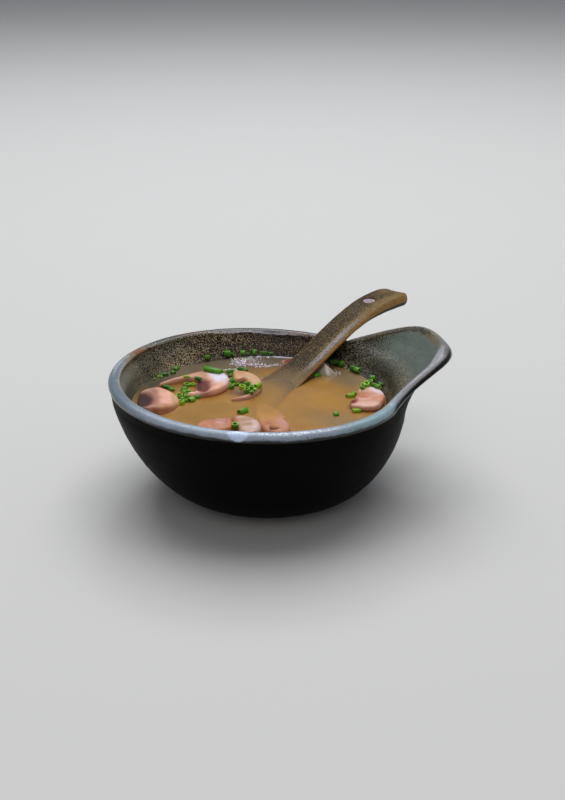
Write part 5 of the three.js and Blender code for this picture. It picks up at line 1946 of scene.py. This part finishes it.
@dataclass
class Soup:
    """The cloudy soup, up to the level where it wets the wall and climbs a little on what stands in it."""

    bowl: Bowl
    spoon: Spoon
    cells: int = 236
    ease: float = 1.12
    reach: float = 58.0
    wall_climb: float = 0.55
    piece_climb: float = 0.4
    ripple: float = 0.035
    under_slice: float = -1.2  # height of the surface that a standing slice hides
    overlap: float = 0.06  # of its rim and the wall
    side_gap: float = 1.4 * GAP

    stains: tuple[Stain, ...] = (
        Stain((34.0, -8.0), (15.0, 12.0), 72, srgb(162, 120, 62), 0.7, 0.9),
        Stain((30.0, -5.0), (7.0, 10.0), 20, srgb(176, 128, 50), 0.8, 0.9),
        Stain((31.0, -30.0), (13.0, 8.0), -40, srgb(142, 120, 88), 0.6, 0.9),
        # painted reflection of the back wall in the soup by it
        Stain((20.0, 50.0), (24.0, 10.0), -14, srgb(104, 92, 80), 0.9, 0.8),
        Stain((45.0, 20.0), (14.0, 8.0), -68, srgb(120, 104, 82), 0.85, 0.8),
        Stain((-6.5, 12.5), (6.0, 3.4), 10, srgb(92, 66, 46), 0.8, 0.7),
        Stain((-6.1, 23.0), (12.5, 3.6), 81, srgb(142, 106, 76), 0.8, 0.7),
        Stain((-30.0, -9.0), (12.0, 8.0), 20, srgb(158, 118, 50), 0.7, 0.9),
        Stain((-50.9, 12.9), (14.1, 3.2), 85, srgb(92, 68, 50), 0.85, 0.7),
        Stain((-3.1, -22.9), (8.5, 1.0), 71, srgb(128, 90, 34), 0.8),
        Stain((11.4, 35.8), (6.5, 0.7), -53, srgb(160, 96, 40), 0.7),
        Stain((3.0, 51.0), (8.0, 4.0), 0, srgb(150, 134, 122), 0.6, 0.8),
    )

    BROTH = srgb(165, 122, 60)
    # greyer broth toward the back: painted reflection of the back wall
    GREYISH = srgb(108, 94, 74)
    SHADE = srgb(54, 52, 38)
    SHALLOW = srgb(112, 98, 70)
    # painted highlight along the soup's edge at the back wall
    PAINTED_HIGHLIGHT = srgb(214, 206, 224)
    # painted shadow along the waterline at the back left
    WATERLINE_SHADOW = srgb(46, 38, 28)
    SPOON_EDGE = srgb(182, 112, 46)
    SPOON_FACE = srgb(118, 98, 74)

    def disc(self) -> tuple[Array, Array]:
        """A square grid bent onto a disc (concentric map): its share of the way out, and its azimuth."""
        line = np.linspace(-1, 1, self.cells)
        a, b = np.meshgrid(line, line, indexing="ij")
        wide = np.abs(a) >= np.abs(b)
        with np.errstate(divide="ignore", invalid="ignore"):
            turn = np.where(wide, np.where(a == 0, 0, math.pi / 4 * b / a), math.pi / 2 - math.pi / 4 * a / b)
        turn = np.nan_to_num(turn)
        reach = np.where(wide, a, b)
        turn = np.where(reach < 0, turn + math.pi, turn)
        return np.abs(reach), turn

    def paint(self, plan: Array, share: Array) -> tuple[Array, Array, Array]:
        """Colour of the soup where it is deep, and where something lies just under it.

        What is sunk shows by a share that fades with depth, as cloud in the soup hides it.

        Args:
            plan: Places in plan.
            share: How far out each place is, from 0 at the middle to 1 at the wall.

        Returns:
            Linear colours, how much the spoon's specks show, and the height that the soup climbs.
        """
        x, y, from_wall = plan[:, 0], plan[:, 1], (1 - share) * self.reach
        # broth, greyer toward the back as a painted reflection of the back wall, with painted shade at the
        # back left
        colour = layered(
            coat(self.BROTH, plan),
            (self.GREYISH, ramp(22, 52, y - 0.25 * x)),
            (self.SHADE, 0.95 * ramp(24, 3, np.hypot(x + 50, y - 32))),
            *((stain.colour, stain.share(plan)) for stain in self.stains),
        )
        cloud = 1 + 0.05 * waves(plan, 24, 3, 4) + 0.03 * waves(plan, 6, 4, 2)
        azimuth = np.arctan2(y, x) / DEG
        # painted highlight: a pale line where the soup meets the back wall
        waterline_highlight = ramp(58, 66, azimuth) * ramp(90, 80, azimuth) * bell(from_wall - 0.5, 0.45)
        # painted shadow: a dark line along the waterline at the back left
        line = ramp(88, 94, azimuth) * ramp(118, 110, azimuth) * ramp(1.8, 0.9, from_wall)

        top, outside = self.spoon.top(plan)
        depth = SOUP_LEVEL - top
        across = ramp(0.6, 2.0, -outside)
        shown = fade(depth, 3.4 + 1.8 * across) * ramp(0.6, -0.3, outside) * (depth > -0.4)
        colour = layered(
            colour * cloud[:, None],
            (self.SHALLOW, 0.55 * fade(from_wall, 2.2)),
            (self.PAINTED_HIGHLIGHT, waterline_highlight),
            (self.WATERLINE_SHADOW, 0.8 * line),
            (layered(coat(self.SPOON_EDGE, plan), (self.SPOON_FACE, across)), shown),
        )
        specks = shown * ramp(0.3, 1.5, -outside)
        climb = self.wall_climb * fade(from_wall, 1.1)
        climb = climb + self.piece_climb * fade(outside, 0.9) * (depth < 0.2) * (outside > -0.5)
        for slice_ in SLICES:
            flat = slice_.in_plane(plan)
            inside = signed_distance(flat, slice_.corners())
            depth = SOUP_LEVEL - slice_.top_height(plan)
            shown = 0.92 * fade(depth, 2.2) * ramp(-0.8, 0.9, inside) * (depth > -0.3)
            stands = ramp(0.1, -0.6, depth)
            # a dark ring on the soup round each standing slice: wet stain with painted contact shadow
            wet = 0.75 * slice_.wet_and_shade * bell(np.clip(-inside, 0, None), 1.1) * stands
            colour = layered(colour, (slice_.paint(flat), shown), (slice_.wet, wet))
            climb = climb + self.piece_climb * fade(-inside, 0.8) * stands * (inside < 0.4)
            climb = np.where((inside > 0.5) & (depth < -0.2), self.under_slice, climb)
        return np.clip(colour, 0, 1), specks, climb

    def skin(self) -> Skin:
        """The free surface as a bent square grid, joined at its rim to rings that go down the inner wall."""
        share, turn = self.disc()
        share = 1 - (1 - share) ** self.ease
        radius = self.bowl.inner_radius(SOUP_LEVEL, turn) + self.overlap
        plan = around(share * radius, turn).reshape(-1, 2)
        colour, specks, climb = self.paint(plan, share.ravel())
        top = np.column_stack([plan, SOUP_LEVEL + climb + self.ripple * waves(plan, 11, 21, 2)])
        n = self.cells
        number = np.arange(n * n).reshape(n, n)
        rim = np.concatenate([number[0, :-1], number[:-1, -1], number[-1, :0:-1], number[:0:-1, 0]])
        azimuth = np.arctan2(plan[rim, 1], plan[rim, 0])
        rings = []
        for z in [z for z in self.bowl.inside_levels() if z < SOUP_LEVEL][::-1]:
            side = around(self.bowl.inner_radius(z, azimuth) - self.side_gap, azimuth)
            lifted = z + GAP * (1 - ramp(self.bowl.floor_height, SOUP_LEVEL, z))
            rings.append(np.column_stack([side, np.full(len(rim), lifted)]))
        points = np.vstack([top, *rings, [[0, 0, self.bowl.floor_height + GAP]]])
        below = n * n + np.arange(len(rings) * len(rim)).reshape(-1, len(rim))
        faces = [
            grid_faces(n, n, wrap_columns=False),
            strip_faces(np.vstack([rim, below])),
            fan_faces(len(points) - 1, below[-1]),
        ]
        hidden = points[n * n :]
        values = {
            "broth": with_alpha(np.vstack([colour, coat(self.BROTH, hidden)])),
            "sunk_specks": np.concatenate([specks, np.zeros(len(hidden))]),
        }
        return Skin(points, faces, values)


class Broth(Look):
    """Cloudy miso: painted colour with fine particles, under a still wet surface."""

    SPECK = srgb(70, 48, 28)

    def material(self) -> Material:
        """The liquid, whose colour and sunk specks the points carry."""
        finish = Finish("cloudy miso", self.effects)
        nodes = finish.nodes
        grain = finish.grain(0.8, nodes.colour("broth"), 0.2)
        cloud = finish.grain(12.0, grain.outputs["Colour"], 0.3)
        specks = finish.specks(0.8, 0.5, 0.16).outputs["Specks"]
        shown = nodes.times(specks, nodes.value("sunk_specks"), 0.45)
        return finish.surface(
            Base_Color=nodes.mix(shown, cloud.outputs["Colour"], self.SPECK),
            Roughness=0.16,
            IOR=1.34,
            Subsurface_Weight=0.15,
            Subsurface_Radius=(1.0, 0.6, 0.25),
            Subsurface_Scale=2.5 * MM,
            height=cloud.outputs["Relief"],
            depth=0.05,
        )


@dataclass
class Bubbles:
    """Small bubbles that gather where the soup meets the back wall."""

    # each cluster's middle, width, depth and number of bubbles
    clusters: tuple[tuple[float, float, float, float, int], ...] = (
        (1.5, 53.0, 6.5, 5.5, 210), (-1.0, 47.0, 5.0, 4.0, 80), (-7.5, 41.0, 4.4, 1.2, 44),
        (5.5, 46.0, 4.4, 1.6, 44), (10.5, 42.6, 4.4, 2.0, 36), (15.0, 43.0, 2.6, 1.6, 20),
        (15.0, 54.5, 10.0, 0.9, 60), (41.0, 27.0, 3.0, 3.4, 30),
    )  # fmt: skip
    smallest: float = 0.19
    spread: float = 0.36
    rarity: float = 2.2  # of big ones
    squash: float = 0.85
    clear: float = 0.7  # of the wall
    lift: float = 0.05
    rows: int = 7
    sides: int = 12
    seed: int = 7

    def skin(self, bowl: Bowl) -> Skin:
        """Every bubble as a flattened ball that is half sunk: rings of a sphere, closed at its poles."""
        random = np.random.default_rng(self.seed)
        middles, radii = [], []
        for x, y, wide, deep, count in self.clusters:
            spot = random.normal(size=(count, 2)) * (wide / 2, deep / 2) + (x, y)
            limit = bowl.inner_radius(SOUP_LEVEL, np.arctan2(spot[:, 1], spot[:, 0])) - self.clear
            middles.append(spot * np.minimum(1, limit / np.hypot(*spot.T))[:, None])
            radii.append(self.smallest + self.spread * random.random(count) ** self.rarity)
        plan, radius = np.vstack(middles), np.concatenate(radii)
        lean = np.linspace(0, math.pi, self.rows + 2)[1:-1, None]
        circles = around(np.sin(lean), np.arange(self.sides) / self.sides * FULL_TURN)
        heights = np.broadcast_to(np.cos(lean)[..., None], (self.rows, self.sides, 1))
        ball = np.vstack([np.concatenate([circles, heights], -1).reshape(-1, 3), [0, 0, 1], [0, 0, -1]])
        count, each = len(plan), len(ball)
        middle = np.column_stack([plan, np.full(count, SOUP_LEVEL + self.lift)])
        points = middle[:, None, :] + ball * radius[:, None, None] * (1, 1, self.squash)
        shift = (np.arange(count) * each)[:, None, None]
        faces = [(f + shift).reshape(-1, f.shape[1]) for f in capped_faces(self.rows, self.sides)]
        return Skin(points.reshape(-1, 3), faces, {"pale": np.repeat(random.random(count), each)})


class BubbleFilm(Look):
    """Pale glossy skin of a bubble."""

    DULL = srgb(168, 146, 124)
    BRIGHT = srgb(240, 234, 248)

    def material(self) -> Material:
        """A pale film, lighter on some bubbles than on others."""
        finish = Finish("bubble film", self.effects)
        colour = finish.nodes.mix(finish.nodes.value("pale"), self.DULL, self.BRIGHT)
        return finish.surface(
            Base_Color=finish.grain(0.6, colour, 0.3).outputs["Colour"],
            Roughness=0.08,
            IOR=1.34,
            Coat_Weight=0.6,
            Coat_Roughness=0.05,
        )


# --- studio


@dataclass(frozen=True)
class Lamp:
    """A soft square lamp, aimed at the soup."""

    name: str
    at: Triple
    size: float
    power: float
    colour: Triple


@dataclass
class Studio:
    """Camera, lamps and the plain pale floor."""

    eye: Triple = (-89.91, -532.48, 263.01)
    heading: float = -RIGHTWARD
    elevation: float = 22.265 * DEG
    lens: float = 58.5
    target: Triple = (0, 0, 0.04)
    lamps: tuple[Lamp, ...] = (
        Lamp("sky", (0.1, 0.55, 1.5), 1.6, 26.0, (0.96, 0.98, 1.0)),
        Lamp("window", (0.2, 1.2, 1.2), 0.3, 2.2, (0.82, 0.88, 1.0)),
        Lamp("front fill", (-0.4, -1.2, 1.0), 1.0, 3.0, (1.0, 0.94, 0.86)),
    )
    sky: Colour = (0.75, 0.8, 0.9, 1.0)
    sky_strength: float = 0.28
    floor_half: float = 8.0

    FLOOR = srgb(206, 204, 200)

    @staticmethod
    def aim(thing: bpy.types.Object, forward: Vector) -> None:
        """Turns a camera or lamp so that it looks forward."""
        thing.rotation_mode = "QUATERNION"
        thing.rotation_quaternion = forward.to_track_quat("-Z", "Y")

    def camera(self, dish: Dish) -> None:
        """Stands the camera where it sees the dish at the right angle."""
        data = bpy.data.cameras.new("camera")
        data.lens, data.sensor_width, data.clip_start = self.lens, 36.0, 0.01
        eye = put("camera", data)
        eye.location = Vector(dish.place(np.array(self.eye)))
        cos, sin = math.cos(self.elevation), math.sin(self.elevation)
        self.aim(eye, Vector((math.sin(self.heading) * cos, math.cos(self.heading) * cos, -sin)))
        bpy.context.scene.camera = eye

    def light(self) -> None:
        """Hangs the lamps and sets a dim even sky."""
        for lamp in self.lamps:
            data = bpy.data.lights.new(lamp.name, "AREA")
            data.energy, data.size, data.color = lamp.power, lamp.size, lamp.colour
            holder = put(lamp.name, data)
            holder.location = lamp.at
            self.aim(holder, Vector(self.target) - Vector(lamp.at))
        world = bpy.data.worlds.new("sky")
        world.use_nodes = True
        background = world.node_tree.nodes["Background"]
        background.inputs["Color"].default_value = self.sky
        background.inputs["Strength"].default_value = self.sky_strength
        bpy.context.scene.world = world
        bpy.context.scene.view_settings.view_transform = "Standard"

    def floor(self) -> None:
        """Lays the plain pale floor under the foot."""
        mesh, wide = bpy.data.meshes.new("floor"), self.floor_half
        corners = [(-wide, -wide, 0), (wide, -wide, 0), (wide, wide, 0), (-wide, wide, 0)]
        mesh.from_pydata(corners, [], [(0, 1, 2, 3)])
        material = bpy.data.materials.new("pale floor")
        material.use_nodes = True
        shader = material.node_tree.nodes["Principled BSDF"]
        shader.inputs["Base Color"].default_value = self.FLOOR
        shader.inputs["Roughness"].default_value = 0.7
        mesh.materials.append(material)
        floor = put("floor", mesh)


# --- the whole dish


def main() -> None:
    """Builds every piece in order."""
    logging.basicConfig(level=logging.INFO, format="%(name)s: %(message)s")
    dish, effects, studio = Dish(), Effects(), Studio()
    bowl, spoon = Bowl(), Spoon()
    studio.camera(dish)
    studio.light()
    studio.floor()

    glaze = BowlGlaze(effects)
    dish.piece("bowl_fine", bowl.skin(glaze), glaze.materials(), ["bowl"], "bowl_glaze")
    spoon_glaze = SpoonGlaze(effects).material()
    handle = dish.piece("spoon_fine", spoon.skin(), [spoon_glaze], ["spoon"], "spoon_glaze")
    spoon.pierce(handle, dish)
    dish.piece("soup_fine", Soup(bowl, spoon).skin(), [Broth(effects).material()], ["soup"], "soup")
    flesh = MushroomFlesh(effects).material()
    for slice_ in SLICES:
        name, node = f"mushroom_fine_{slice_.number}", f"mushroom_slice_{slice_.number}"
        dish.piece(name, slice_.skin(), [flesh], [node], "mushroom")
    dish.piece("tofu_fine", Tofu().skin(), [TofuCurd(effects).material()], ["tofu"], "tofu")
    green = ChiveSkin(effects).material()
    for on, skin in Chives(bowl).skins().items():
        dish.piece(f"chives_on_{on.value}", skin, [green], [on.value], "chives")
    dish.piece("bubbles", Bubbles().skin(bowl), [BubbleFilm(effects).material()], ["soup"], "soup")


if __name__ == "__main__":
    main()
